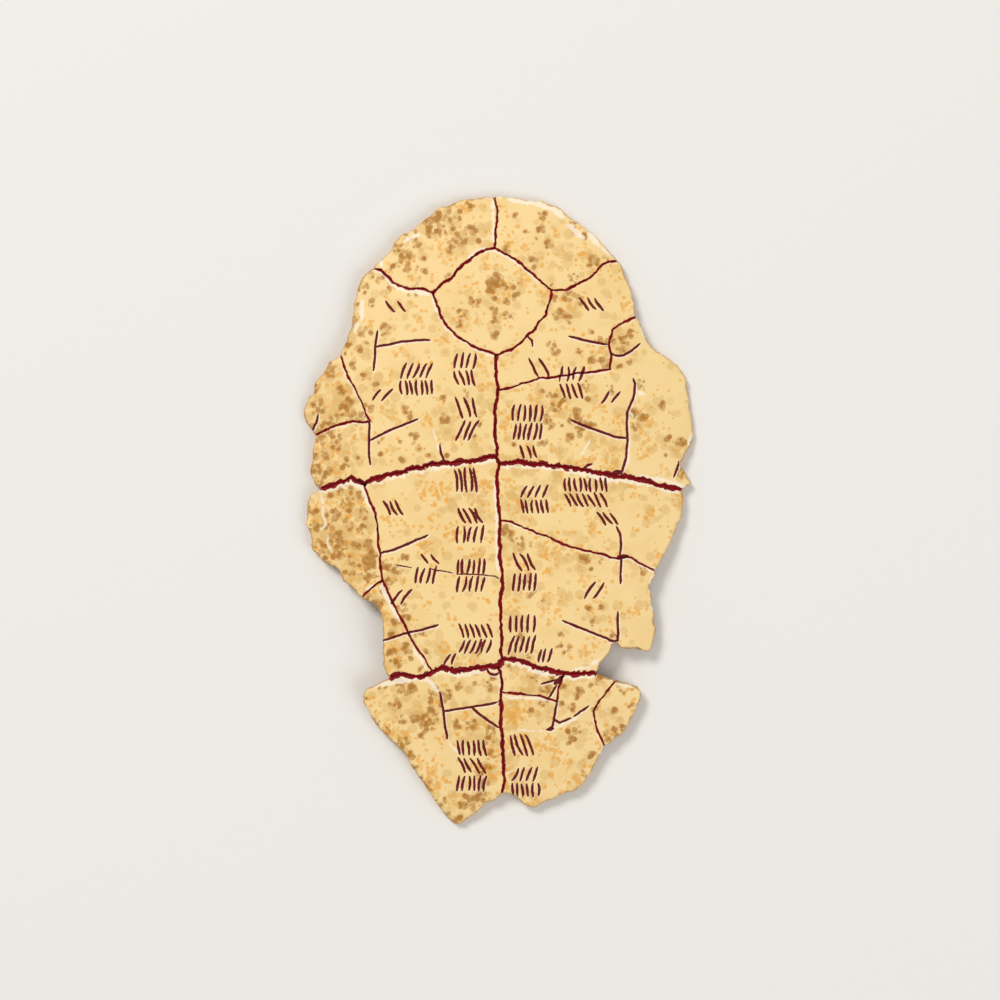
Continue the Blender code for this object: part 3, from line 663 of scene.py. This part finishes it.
# %% Clusters of tan spots
TAN_CLUSTERS = [
    (440, 222, 16, 26), (462, 242, 12, 16), (410, 250, 14, 22), (487, 225, 6, 8), (487, 245, 6, 7),
    (520, 216, 5, 2), (556, 234, 8, 3), (562, 258, 12, 8), (590, 262, 12, 9), (530, 262, 9, 6),
    (490, 290, 14, 12), (512, 285, 10, 8), (466, 316, 12, 8), (495, 325, 5, 8), (546, 300, 8, 8),
    (374, 284, 14, 12), (390, 330, 8, 4), (352, 330, 8, 10), (358, 350, 12, 10), (405, 298, 14, 5),
    (370, 378, 12, 8), (400, 412, 14, 8), (447, 400, 10, 6), (483, 403, 10, 8), (465, 450, 12, 10),
    (447, 425, 10, 5), (430, 455, 12, 5), (330, 385, 18, 30), (325, 410, 16, 28), (350, 412, 10, 14),
    (330, 440, 20, 34), (322, 468, 14, 24), (350, 460, 12, 10), (335, 505, 22, 60), (355, 530, 16, 36),
    (325, 535, 16, 34), (352, 562, 18, 44), (366, 515, 8, 8), (375, 598, 12, 12), (392, 625, 12, 16),
    (395, 655, 14, 16), (430, 640, 12, 10), (440, 655, 12, 9), (395, 575, 12, 10), (430, 545, 8, 7),
    (445, 500, 12, 10), (478, 490, 12, 14), (488, 512, 8, 7), (478, 565, 14, 8), (470, 655, 16, 12),
    (604, 352, 9, 8), (565, 308, 14, 12), (622, 340, 10, 10), (552, 405, 18, 12), (582, 425, 14, 12),
    (515, 415, 14, 7), (520, 452, 16, 16), (560, 458, 16, 12), (600, 455, 18, 18), (640, 415, 12, 9),
    (666, 402, 8, 4), (650, 436, 12, 7), (676, 445, 10, 8), (683, 474, 5, 5), (530, 478, 22, 30),
    (570, 482, 16, 18), (608, 485, 14, 18), (518, 505, 14, 12), (590, 512, 10, 6), (640, 485, 12, 7),
    (676, 500, 8, 8), (652, 516, 9, 7), (590, 540, 16, 8), (510, 545, 10, 9), (548, 555, 14, 14),
    (512, 580, 8, 8), (510, 620, 8, 10), (515, 650, 8, 8), (552, 592, 16, 11), (545, 606, 8, 4),
    (570, 565, 10, 5), (595, 612, 8, 3), (640, 572, 8, 4), (385, 697, 20, 12), (400, 692, 12, 8),
    (430, 712, 14, 16), (400, 724, 14, 9), (450, 690, 16, 10), (487, 690, 8, 6), (465, 727, 16, 13),
    (490, 745, 8, 12), (488, 775, 9, 18), (405, 755, 7, 6), (430, 790, 9, 8), (458, 812, 14, 16),
    (480, 803, 9, 8), (520, 675, 18, 30), (540, 688, 9, 10), (512, 715, 14, 16), (540, 712, 10, 9),
    (578, 690, 12, 8), (565, 715, 10, 7), (570, 738, 14, 8), (508, 760, 9, 12), (515, 785, 9, 8),
    (575, 785, 6, 4), (590, 765, 7, 5), (620, 722, 12, 8), (600, 690, 8, 4), (530, 802, 10, 8),
]
print("tan clusters", len(TAN_CLUSTERS))

# %% Scatter the spots: smallest and largest radius in pixels, crowding and seed of each kind
SPOT_KINDS = {
    "brown": (BROWN_CLUSTERS, (1.1, 2.9), 2.1, 41),
    "ochre": (OCHRE_CLUSTERS, (1.1, 2.4), 1.3, 42),
    "tan": (TAN_CLUSTERS, (2.6, 5.2), 1.2, 43),
}
LAYERS = {"brown": 3, "ochre": 2, "tan": 3}
SMALL_SPOTS = 1.5
SPOT_REACH = 1.2 * MM
SCATTER = 1.2


def scattered_spots(clusters, radii, crowding, seed):
    """Spots as rows of x, y and radius in metres, scattered about the middle of each cluster."""
    chance = np.random.default_rng(seed)
    spots = []
    for x, y, spread, count in clusters:
        for _ in range(round(count * crowding)):
            turn = chance.uniform(0, 2 * math.pi)
            off = SCATTER * spread * math.sqrt(chance.uniform(0, 1))
            middle = on_bone([(x + off * math.cos(turn), y + off * math.sin(turn))])[0]
            size = radii[0] + (radii[1] - radii[0]) * chance.uniform(0, 1) ** SMALL_SPOTS
            spots.append([*middle, size * PIXEL])
    return np.array(spots)


def spot_gap(points, spots):
    """Distance from each point to the rim of the nearest spot, below zero inside it."""
    gap = np.full(len(points), SPOT_REACH)
    low, high = points.min(axis=0) - SPOT_REACH, points.max(axis=0) + SPOT_REACH
    here = ((spots[:, :2] > low) & (spots[:, :2] < high)).all(axis=1)
    for x, y, radius in spots[here]:
        off = points - (x, y)
        near = np.flatnonzero((np.abs(off) < radius + SPOT_REACH).all(axis=1))
        gap[near] = np.minimum(gap[near], np.linalg.norm(off[near], axis=1) - radius)
    return gap


spots_of = {kind: scattered_spots(*how) for kind, how in SPOT_KINDS.items()}
print("spots", {kind: len(spots) for kind, spots in spots_of.items()})

# %% [markdown]
# ## Flaked edges and scratches
# Where an edge was knocked, the outer skin flaked off and shows paler bone. A few scratches are
# pale in the same way. Both could be masks painted by hand. They are very shallow paths here, like
# the cracks, so that one function carves them and tells the colours where they are.

# %% Places where an edge has flaked or been scratched: width in pixels and a line along them
FLAKES = [
    (5, [(510, 197), (535, 200), (552, 207), (563, 215)]), (5, [(568, 223), (576, 229), (584, 236)]),
    (7, [(591, 231), (600, 243)]), (4, [(603, 246), (613, 254)]), (5, [(361, 299), (361, 318)]),
    (4, [(357, 322), (354, 331)]), (4, [(383, 275), (390, 281), (402, 289), (416, 291), (428, 294)]),
    (3, [(432, 299), (436, 312)]), (3, [(402, 240), (409, 236), (418, 232)]), (3, [(381, 254), (379, 265)]),
    (3, [(468, 257), (484, 248)]), (3, [(455, 271), (461, 266)]), (5, [(478, 463), (492, 460)]),
    (4, [(305, 495), (318, 489), (340, 484), (353, 482), (362, 487), (366, 497), (369, 506)]),
    (2.5, [(503, 467), (530, 467), (560, 470), (585, 473), (612, 479)]), (3.5, [(640, 481), (683, 494)]),
    (3.5, [(640, 477), (660, 478), (672, 482), (688, 487)]), (4, [(694, 434), (691, 444)]),
    (5, [(637, 391), (644, 394)]), (3, [(631, 412), (633, 416)]), (2, [(630, 440), (628, 465)]),
    (3, [(641, 322), (645, 334)]), (4, [(303, 423), (308, 429)]), (3, [(344, 369), (352, 385), (363, 407)]),
    (4, [(655, 568), (656, 575), (651, 582)]), (2.5, [(632, 561), (650, 568)]),
    (5, [(592, 664), (600, 660)]), (3, [(572, 670), (590, 668)]),
    (5, [(361, 693), (366, 688), (382, 685), (400, 681), (412, 680)]),
    (4, [(420, 680), (428, 679), (438, 692)]), (4, [(439, 673), (448, 672)]),
    (2.5, [(493, 200), (493, 240)]), (2.5, [(496, 358), (496, 378)]), (2.5, [(496, 478), (497, 570)]),
    (3, [(501, 663), (501, 700)]), (3, [(565, 678), (592, 678)]), (3, [(600, 673), (612, 681)]),
    (3, [(616, 684), (632, 688)]), (2.5, [(502, 696), (520, 697), (545, 701)]),
    (3, [(555, 729), (568, 723), (580, 717)]), (3, [(600, 757), (603, 750)]),
    (4, [(381, 586), (387, 598), (400, 621)]), (3, [(414, 650), (426, 668)]), (3, [(366, 590), (373, 584)]),
]
SCRATCHES = [
    [(447, 741), (453, 749), (461, 756)], [(518, 730), (530, 732), (545, 731)], [(590, 440), (581, 455)],
    [(433, 430), (436, 440), (439, 450)], [(319, 488), (322, 505), (321, 516), (325, 524), (319, 531)],
    [(327, 535), (326, 543), (330, 552)], [(521, 777), (524, 780)], [(507, 774), (512, 772)],
    [(586, 727), (588, 728)], [(607, 710), (607, 713)], [(487, 759), (490, 762)], [(373, 508), (376, 521)],
]
SCRATCH_WIDTH = 1.7
PALE_DEPTH = 0.07 * MM
pale_paths = np.concatenate(
    [cutting_path(line, width * PIXEL, PALE_DEPTH) for width, line in FLAKES]
    + [cutting_path(line, SCRATCH_WIDTH * PIXEL, PALE_DEPTH) for line in SCRATCHES]
)
print("flakes", len(FLAKES), "scratches", len(SCRATCHES))

# %% [markdown]
# ## Carving the skin
# Every point of a plate knows how far through the bone it lies. The outer face is given its new
# height first: gentle waves, sunken stains, worn seams, cracks and cuts. Each point then moves in
# proportion, so the walls shrink with the face and nothing folds. The walls beside a seam then
# move a little towards each other. Last, the whole plate is bent sideways by the shared noise,
# which roughens the seams and the rim.

# %% Wear of the outer face
WAVE_HEIGHT = 0.16 * MM
WAVE_LENGTH = 14 * MM
RIPPLE_HEIGHT = 0.035 * MM
RIPPLE_LENGTH = 2.4 * MM
STAIN_SINK = 0.03 * MM
SLOPE_WAVE = 2.6 * MM
SLOPE_SPREAD = 0.45
SLOPE_CURVE = 1.5
SUNK_EDGE = 0.3 * MM
# The next constants shape a painted highlight: a pale band along the side of each seam and groove that
# faces the light.
SEAM_HIGHLIGHT_SIDE = np.array([-0.45, -0.89])
LINE_HIGHLIGHT_SIDE = np.array([0.55, -0.83])
SEAM_HIGHLIGHT_WIDTH = np.array([0.70, 0.40, 0.40, 0.42, 0.85]) * MM
HIGHLIGHT_SPREAD = (0.9, 0.6, 0.7)
HIGHLIGHT_WAVE = 11 * MM
SEAM_HIGHLIGHT_FACING = (0.42, 0.85)
LINE_HIGHLIGHT_FACING = (0.1, 0.7)
HIGHLIGHT_EDGE = (-0.1 * MM, 0.15 * MM)
FLAKE_EDGE = (-0.12 * MM, 0.15 * MM)
FLAKE_RAGGED = 0.25 * MM
LINE_HIGHLIGHT_WIDTH = 0.42 * MM
SHALLOW_HIGHLIGHT = 0.45
TEETH_WAVE = 0.75 * MM
LEAST_AWAY = 0.05 * MM


def groove(gap, half, deep):
    """Depth of a rounded groove: full at its middle and nothing at its edge."""
    inside = np.clip(-gap / half, 0, 1)
    return deep * inside * (2 - inside)


def surroundings(node, flat):
    """What lies near points over a plate: its edge, the dark lines, the pale ones and the spots."""
    index, far = edges_of[node].nearest(flat)
    return SimpleNamespace(
        far=far,
        kinds=edges_of[node].kinds[index],
        from_edge=flat - edges_of[node].points[index],
        dark=nearest_path(flat, dark_paths),
        pale=nearest_path(flat, pale_paths),
        stains={
            f"{kind}_{layer}": spot_gap(flat, spots_of[kind][layer::layers])
            for kind, layers in LAYERS.items() for layer in range(layers)
        },
    )


def worn_height(flat, near):
    """Change of height at points over a plate's outer face."""
    slope = SEAM_SLOPE[near.kinds] * (1 + SLOPE_SPREAD * roughness(flat, SLOPE_WAVE, 11))
    drop = SEAM_DROP[near.kinds] * np.clip(1 - near.far / slope, 0, 1) ** SLOPE_CURVE
    browns = [near.stains[f"brown_{layer}"] for layer in range(LAYERS["brown"])]
    sunk = sum(rise(-gap, -SUNK_EDGE, SUNK_EDGE) for gap in browns)
    height = WAVE_HEIGHT * roughness(flat, WAVE_LENGTH, 12)
    height += RIPPLE_HEIGHT * roughness(flat, RIPPLE_LENGTH, 13)
    height -= STAIN_SINK * np.minimum(sunk, 2)
    return height - np.maximum(np.maximum(drop, groove(*near.dark[:3])), groove(*near.pale[:3]))


def outer_marks(flat, near):
    """What the colours need to know at points over a plate's outer face."""
    gap, _, deep, away = near.dark
    ink = SEAM_INK[near.kinds] + SEAM_TEETH[near.kinds] * roughness(flat, TEETH_WAVE, 15)
    seam_side = near.from_edge @ SEAM_HIGHLIGHT_SIDE / np.maximum(near.far, LEAST_AWAY)
    line_side = away @ LINE_HIGHLIGHT_SIDE / np.maximum(np.linalg.norm(away, axis=1), LEAST_AWAY)
    ragged = roughness(flat, 1.0 * MM, 16) + 0.6 * roughness(flat, 3.0 * MM, 17)
    least, some, more = HIGHLIGHT_SPREAD
    highlight_band = SEAM_HIGHLIGHT_WIDTH[near.kinds] * (least + some * ragged + more * roughness(flat, HIGHLIGHT_WAVE, 18))
    # Painted highlight: the pale band on the lit side of a seam or groove stands for its edge catching the
    # light.
    painted_highlight_seam = rise(seam_side, *SEAM_HIGHLIGHT_FACING) * rise(highlight_band - (near.far - ink), *HIGHLIGHT_EDGE)
    painted_highlight_line = rise(line_side, *LINE_HIGHLIGHT_FACING) * rise(LINE_HIGHLIGHT_WIDTH - gap, *HIGHLIGHT_EDGE)
    painted_highlight_line *= np.where(deep < CRACK_DEPTH, SHALLOW_HIGHLIGHT, 1)
    flaked = rise(FLAKE_RAGGED * ragged - near.pale[0], *FLAKE_EDGE)
    return {
        "seam": (near.far - ink) / MM,
        "cut": gap / MM,
        # The pale mask holds both the painted highlights and the flaked and scratched bone.
        "pale": np.maximum(np.maximum(painted_highlight_seam, painted_highlight_line), flaked),
        "rim": (near.kinds == RIM).astype(float),
        **{name: past / MM for name, past in near.stains.items()},
    }


print("deepest seam", round(SEAM_DROP.max() / MM, 2), "mm, crack", round(CRACK_DEPTH / MM, 2), "mm")

# %% Carve every plate
SNAP_TILT = 0.75
SNAP_SHARE = 0.1
SEAM_CLOSING = 0.145 * MM
INNER_ROUGH = 0.12 * MM
INNER_WAVE = 3.0 * MM
FOOT_CLEARANCE = 0.5 * MM
BEND_AMOUNTS = ((0.34 * MM, 5.0 * MM), (0.28 * MM, 2.4 * MM), (0.20 * MM, 1.1 * MM))
BEND_REACH = (0.8 * MM, 3.0 * MM)
FIELD_BEND = 0.4
BEND_STRETCH = (1, 1, 1.5)
PIT_REACH = 4.4 * MM
SLOT_HALVES = np.array([3.5, 7.7]) * MM
HOLLOW_TOP = 0.75
SCORCH_REACH = 4.6 * MM
FACING_DOWN = (0.1, 0.5)
FACING_SIDEWAYS = (0.35, 0.75)


def worn_places(places, normals, share, near):
    """A plate's points after wear: up and down first, then sideways."""
    flat = places[:, :2].copy()
    low, high = inner_height(*flat.T), outer_height(*flat.T)
    rough = INNER_ROUGH * roughness(flat, INNER_WAVE, 21) * rise(low, 0, FOOT_CLEARANCE)
    new_low = np.maximum(0, low + rough)
    places = places.copy()
    places[:, 2] = new_low + share * (high + worn_height(flat, near) - new_low)
    closing = (near.kinds != RIM) & (near.far < SKIN_STEP)
    places[:, :2] += SEAM_CLOSING * closing[:, None] * normals[:, :2]
    bent = 1 - (1 - FIELD_BEND) * rise(near.far, *BEND_REACH)
    for seed, (amount, wave) in enumerate(BEND_AMOUNTS):
        for axis in (0, 1):
            noise = roughness(places / BEND_STRETCH, wave, 31 + 2 * seed + axis)
            places[:, axis] += bent * amount * noise
    places[:, 2] = np.maximum(places[:, 2], 0)
    return places


def side_marks(flat, tilts, share):
    """Where the inner face with its hollows, the broken walls and the scorch marks are."""
    to_pit = np.linalg.norm(flat[:, None] - drill_centres[None], axis=2).min(axis=1)
    off = flat[:, None] - hollow_centres[None]
    turned = np.stack([(off * ACROSS).sum(axis=2), (off * ALONG).sum(axis=2)], axis=2)
    to_slot = (np.abs(turned) / SLOT_HALVES).max(axis=2).min(axis=1)
    hollow = ((to_pit < PIT_REACH) | (to_slot < 1)) & (share < HOLLOW_TOP) & (share > 0)
    return {
        "inner": np.maximum(rise(-tilts, *FACING_DOWN), hollow),
        "through": share,
        "steep": (1 - rise(np.abs(tilts), *FACING_SIDEWAYS)) * ~hollow,
        "scorch": np.exp(-(to_pit / SCORCH_REACH) ** 2),
    }


def carve(node, plate):
    """Moves a plate's points and leaves the marks on them that its colours need."""
    mesh = plate.data
    places = np.empty(len(mesh.vertices) * 3)
    mesh.vertices.foreach_get("co", places)
    places = places.reshape(-1, 3)
    normals = np.array([vert.normal for vert in mesh.vertices])
    tilts = normals[:, 2]
    share = thickness_share(places)
    share[(tilts > SNAP_TILT) & (share > 1 - SNAP_SHARE)] = 1
    share[(tilts < -SNAP_TILT) & (share < SNAP_SHARE)] = 0
    flat = places[:, :2]
    near = surroundings(node, flat)
    marks = {**outer_marks(flat, near), **side_marks(flat, tilts, share)}
    mesh.vertices.foreach_set("co", worn_places(places, normals, share, near).ravel())
    mesh.update()
    for name, values in marks.items():
        layer = mesh.attributes.new(name, "FLOAT", "POINT")
        layer.data.foreach_set("value", values.astype(np.float32))
    mesh.shade_smooth()


for node, plate in plates.items():
    carve(node, plate)
    print(node, len(plate.data.polygons), "faces")

# %% [markdown]
# ## Shader sums
# The colour of the bone is a sum of many masks. Writing each sum as a Python expression keeps it
# readable, so a small class wraps a node's output and turns + - * into Math nodes. Every other
# node comes from one function.

# %% A value that varies over the bone
class Field:
    """The output of a shader node, with sums written as Python sums."""

    def __init__(self, socket):
        self.socket = socket

    def _sum(self, operation, first, second):
        return add_node("ShaderNodeMath", {"operation": operation}, {0: first, 1: second})

    def __add__(self, other):
        return self._sum("ADD", self, other)

    def __sub__(self, other):
        return self._sum("SUBTRACT", self, other)

    def __mul__(self, other):
        return self._sum("MULTIPLY", self, other)

    def __rsub__(self, other):
        return self._sum("SUBTRACT", other, self)

    __radd__ = __add__
    __rmul__ = __mul__


tree = None


def add_node(kind, settings=None, sockets=None, output=0):
    """Adds a shader node with these settings and values or links, and returns one of its outputs."""
    made = tree.nodes.new(kind)
    for name, value in (settings or {}).items():
        setattr(made, name, value)
    for name, value in (sockets or {}).items():
        if isinstance(value, Field):
            tree.links.new(value.socket, made.inputs[name])
        else:
            made.inputs[name].default_value = value
    return Field(made.outputs[output]) if made.outputs else None


def attribute(name):
    return add_node("ShaderNodeAttribute", {"attribute_name": name}, output="Fac")


def smooth_step(value, low, high):
    return add_node("ShaderNodeMapRange", {"interpolation_type": "SMOOTHSTEP"},
                    {"Value": value, "From Min": low, "From Max": high})


def noise(place, scale, detail):
    return add_node("ShaderNodeTexNoise", {}, {"Vector": place, "Scale": scale, "Detail": detail})


def mixed(share, first, second):
    """The first colour where share is 0 and the second where it is 1."""
    return add_node("ShaderNodeMix", {"data_type": "RGBA"}, {0: share, 6: first, 7: second}, 2)


def colour(red, green, blue):
    """A screen colour as the linear one that a shader takes."""
    def linear(value):
        value /= 255
        return value / 12.92 if value <= 0.04045 else ((value + 0.055) / 1.055) ** 2.4
    return (linear(red), linear(green), linear(blue), 1.0)


print("white is", colour(255, 255, 255))

# %% [markdown]
# ## Old bone
# Bone is a warm cream with a dull polish. Three kinds of round spots cover it: broad tan ones,
# ochre ones in drifts, and brown ones where soil lay. Dark red earth fills the seams, cracks and
# cuts. Their lower edges, which face the light, carry a painted highlight in a pale bone colour, and
# flaked and scratched bone is pale as well. The broken walls are spongy inside, and the hollows
# underneath are scorched. A painted image would blur up close, so every mask is made from the
# distances that carving left on the mesh, and from noise.

# %% The bone's colours
CREAM = colour(247, 215, 151)
WARM_CREAM = colour(243, 208, 141)
TAN = colour(216, 172, 98)
OCHRE = colour(234, 162, 46)
BROWN = colour(170, 108, 14)
# PALE is both the colour of flaked bone and a painted highlight on the lit edges of seams and grooves.
PALE = colour(253, 240, 218)
RIM_BROWN = colour(158, 92, 44)
SEAM_EARTH = colour(124, 2, 15)
CUT_EARTH = colour(106, 0, 10)
# Painted light: a lighter copy of the seam earth for the steep walls of the seams, where shade falls.
EARTH_LIGHTENED_AGAINST_SHADE = colour(192, 8, 30)
WALL = colour(205, 160, 96)
WALL_PORE = colour(120, 74, 42)
INNER = colour(226, 190, 126)
SINGED = colour(134, 84, 44)
CHAR = colour(42, 26, 20)
BROWN_SHARES = (0.64, 0.52, 0.40)
OCHRE_SHARES = (0.60, 0.42)
TAN_SHARES = (0.42, 0.34, 0.26)
SPOT_SOFT = 0.11
PALE_SHARE = 0.78
RIM_SHARE = 0.6
HALO_REACH = 1.0
HALO_SHARE = 0.27
WOBBLE = 0.26
NOISES = ((0.09, 3.0), (0.16, 2.0), (1.6, 3.0), (5.0, 2.0))
TAN_CELL, TAN_LARGEST = 4.2, 0.46
OCHRE_CELL, OCHRE_LARGEST = 1.9, 0.40
PORE_SCALE = 1.7
LINE_EDGE = 0.07
CUT_EDGE = 0.06
BUMP_HEIGHT = 0.12 * MM
BUMP_STRENGTH = 0.30


def covered(shares, first, second):
    """One colour laid over another once for every share, as overlapping spots are."""
    for share in shares:
        first = mixed(share, first, second)
    return first


def spot_shares(kind, wobble, shares):
    """How much each layer of listed spots covers, with their round rims a little uneven."""
    return [
        smooth_step(attribute(f"{kind}_{layer}") + wobble, SPOT_SOFT, -SPOT_SOFT) * share
        for layer, share in enumerate(shares)
    ]


def loose_spots(place, size, largest, amount, soft=0.07):
    """Round spots of random size, at most one to each cell of the given size in millimetres."""
    cells = {"Vector": place, "Scale": 1 / size, "Randomness": 0.9}
    flat_cells = {"voronoi_dimensions": "2D"}
    far = add_node("ShaderNodeTexVoronoi", flat_cells, cells, "Distance")
    random = add_node("ShaderNodeTexVoronoi", flat_cells, cells, "Color")
    big = add_node("ShaderNodeSeparateColor", {}, {0: random}, 0)
    rank = add_node("ShaderNodeSeparateColor", {}, {0: random}, 1)
    present = smooth_step(amount - rank, 0.0, 0.05)
    return present * smooth_step(big * (largest * 0.5) + largest * 0.5 - far, -soft, soft)


print("layers of spots", len(TAN_SHARES), "tan,", len(OCHRE_SHARES), "ochre,", len(BROWN_SHARES), "brown")


# %% The material: outer face, broken walls, inner face, then the earth in the lines
def outer_tone(place, broad, drift, fine):
    """Colour of the outer face between its lines, and how stained it is."""
    wobble = (fine - 0.5) * WOBBLE
    tone = mixed(smooth_step(broad, 0.4, 0.65), CREAM, WARM_CREAM)
    faint = loose_spots(place, TAN_CELL, TAN_LARGEST, broad * 1.2 - 0.32)
    tone = covered([faint * TAN_SHARES[0]] + spot_shares("tan", wobble, TAN_SHARES), tone, TAN)
    drops = loose_spots(place, OCHRE_CELL, OCHRE_LARGEST, drift * 1.5 - 0.62)
    ochre = [drops * OCHRE_SHARES[0]] + spot_shares("ochre", wobble * 0.6, OCHRE_SHARES)
    tone = covered(ochre, tone, OCHRE)
    halo = smooth_step(attribute("brown_0") + wobble, HALO_REACH, -HALO_REACH) * HALO_SHARE
    brown = spot_shares("brown", wobble, BROWN_SHARES)
    tone = covered([halo] + brown, tone, BROWN)
    # A narrow band along the rim is made browner.
    rim_band = attribute("rim") * smooth_step(attribute("seam") + (drift - 0.5) * 1.2, 1.15, 0.55)
    tone = mixed(rim_band * RIM_SHARE, tone, RIM_BROWN)
    # The pale mask lays flaked bone and the painted highlights of the lit edges in one colour.
    return mixed(attribute("pale") * PALE_SHARE, tone, PALE), brown[0] + brown[1] + brown[2]


def wall_tone(place, through, fine):
    """Colour of a broken wall, and how deep in a pore of its spongy middle each point lies."""
    pores = add_node("ShaderNodeTexVoronoi", {}, {"Vector": place, "Scale": PORE_SCALE}, "Distance")
    middle = smooth_step(through, 0.97, 0.8) * smooth_step(through, 0.03, 0.2)
    sponge = smooth_step(pores, 0.5, 0.15) * middle
    return mixed(sponge * 0.8, mixed(fine, WALL, TAN), WALL_PORE), sponge


def inner_tone(broad, fine, stained):
    """Colour of the inner face, with scorch marks in its hollows."""
    tone = mixed(smooth_step(fine, 0.35, 0.7) * 0.5, INNER, WALL)
    tone = mixed(stained * 0.4, tone, BROWN)
    scorch = attribute("scorch")
    singed = smooth_step(scorch + (broad - 0.5) * 0.5, 0.25, 0.75)
    burnt = smooth_step(scorch + (fine - 0.5) * 0.6, 0.55, 1.0)
    return mixed(burnt * 0.95, mixed(singed * 0.7, tone, SINGED), CHAR)


def bone_material():
    global tree
    material = bpy.data.materials.new("aged_plastron_bone")
    material.use_nodes = True
    tree = material.node_tree
    tree.nodes.clear()
    metres = add_node("ShaderNodeTexCoord", output="Object")
    place = add_node("ShaderNodeVectorMath", {"operation": "SCALE"}, {0: metres, "Scale": 1 / MM})
    broad, drift, fine, grit = (noise(place, *size) for size in NOISES)
    through, steep = attribute("through"), attribute("steep")
    tone, stained = outer_tone(place, broad, drift, fine)
    walls, sponge = wall_tone(place, through, fine)
    tone = mixed(attribute("inner"), mixed(steep, tone, walls), inner_tone(broad, fine, stained))
    outer = smooth_step(through, 0.72, 0.85)
    seam_line = smooth_step(attribute("seam"), LINE_EDGE, -LINE_EDGE) * outer
    cut_line = smooth_step(attribute("cut") + (fine - 0.5) * 0.35, CUT_EDGE, -CUT_EDGE) * outer
    # On steep walls the seam earth is painted lighter, a painted light that offsets the shade deep in the
    # seam.
    seam_earth_with_painted_light = mixed(steep, SEAM_EARTH, EARTH_LIGHTENED_AGAINST_SHADE)
    tone = mixed(cut_line, mixed(seam_line, tone, seam_earth_with_painted_light), CUT_EARTH)

    relief = fine * 0.5 + grit * 0.25 - stained * 0.3 - sponge * 1.2
    bump = {"Strength": BUMP_STRENGTH, "Distance": BUMP_HEIGHT, "Height": relief}
    normal = add_node("ShaderNodeBump", {}, bump)
    rough = 0.48 + fine * 0.14 + stained * 0.06 + (seam_line + cut_line) * 0.15 + steep * 0.2
    shader = add_node("ShaderNodeBsdfPrincipled", {}, {
        "Base Color": tone, "Roughness": rough, "Normal": normal, "Specular IOR Level": 0.35,
    })
    add_node("ShaderNodeOutputMaterial", {}, {"Surface": shader})
    return material


bone = bone_material()
print("shader nodes", len(bone.node_tree.nodes))

# %% [markdown]
# ## Putting the plates in their places
# Each carved plate stands for its CAD solid and rides with it. They are all one body, because
# nothing on an oracle bone moves.

# %% Finish every plate
for name, plate in plates.items():
    plate.data.materials.clear()
    plate.data.materials.append(bone)
    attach(plate, "root")
    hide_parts(name)
print("plates in place", len(plates))

# %% [markdown]
# ## Table, light and camera
# The plastron lies on a pale table. A broad light high on the upper left rakes across it, so that
# every groove has a dark side and a lit side, and weaker light from the other side and the sky
# keeps the shadows soft. The camera looks straight down.

# %% Table
TABLE_SIZE = 3.0
TABLE_DROP = 0.15 * MM
floor_mesh = bpy.data.meshes.new("table")
bm = bmesh.new()
bmesh.ops.create_grid(bm, x_segments=1, y_segments=1, size=TABLE_SIZE / 2)
bm.to_mesh(floor_mesh)
bm.free()
table = bpy.data.objects.new("table", floor_mesh)
table.location.z = -TABLE_DROP
bpy.context.scene.collection.objects.link(table)
paint = bpy.data.materials.new("pale_table")
paint.use_nodes = True
paint.node_tree.nodes["Principled BSDF"].inputs["Base Color"].default_value = colour(236, 234, 230)
paint.node_tree.nodes["Principled BSDF"].inputs["Roughness"].default_value = 0.8
floor_mesh.materials.append(paint)
print("table", TABLE_SIZE, "m wide")

# %% Lights and sky
LIGHTS = {
    "key": ((-1.40, 1.80, 2.50), 1.0, 63.0, (1.0, 0.98, 0.95)),
    "fill": ((2.40, -1.80, 2.60), 2.6, 55.0, (0.95, 0.97, 1.0)),
}
SKY_STRENGTH = 0.42


def area_light(name, place, size, power, tint):
    data = bpy.data.lights.new(name, "AREA")
    data.size = size
    data.energy = power
    data.color = tint
    light = bpy.data.objects.new(name, data)
    light.location = place
    light.rotation_euler = (-Vector(place)).to_track_quat("-Z", "Y").to_euler()
    bpy.context.scene.collection.objects.link(light)


for name, (place, size, power, tint) in LIGHTS.items():
    area_light(name, place, size, power, tint)
world = bpy.data.worlds.new("soft_sky")
world.use_nodes = True
world.node_tree.nodes["Background"].inputs["Color"].default_value = (1.0, 0.99, 0.97, 1.0)
world.node_tree.nodes["Background"].inputs["Strength"].default_value = SKY_STRENGTH
bpy.context.scene.world = world
bpy.context.scene.view_settings.view_transform = "Standard"
print("lights", len(LIGHTS))

# %% Camera, straight above, framed as the picture is
PICTURE_SIZE = 1000
LENS = 85.0
SENSOR = 36.0
FACE_LEVEL = 11 * MM
camera_data = bpy.data.cameras.new("camera")
camera_data.lens = LENS
camera_data.sensor_width = SENSOR
camera = bpy.data.objects.new("camera", camera_data)
middle = on_bone([(PICTURE_SIZE / 2, PICTURE_SIZE / 2)])[0]
distance = PICTURE_SIZE * PIXEL * LENS / SENSOR
camera.location = (middle[0], middle[1], FACE_LEVEL + distance)
bpy.context.scene.collection.objects.link(camera)
bpy.context.scene.camera = camera
print("camera", round(distance, 3), "m above the bone")
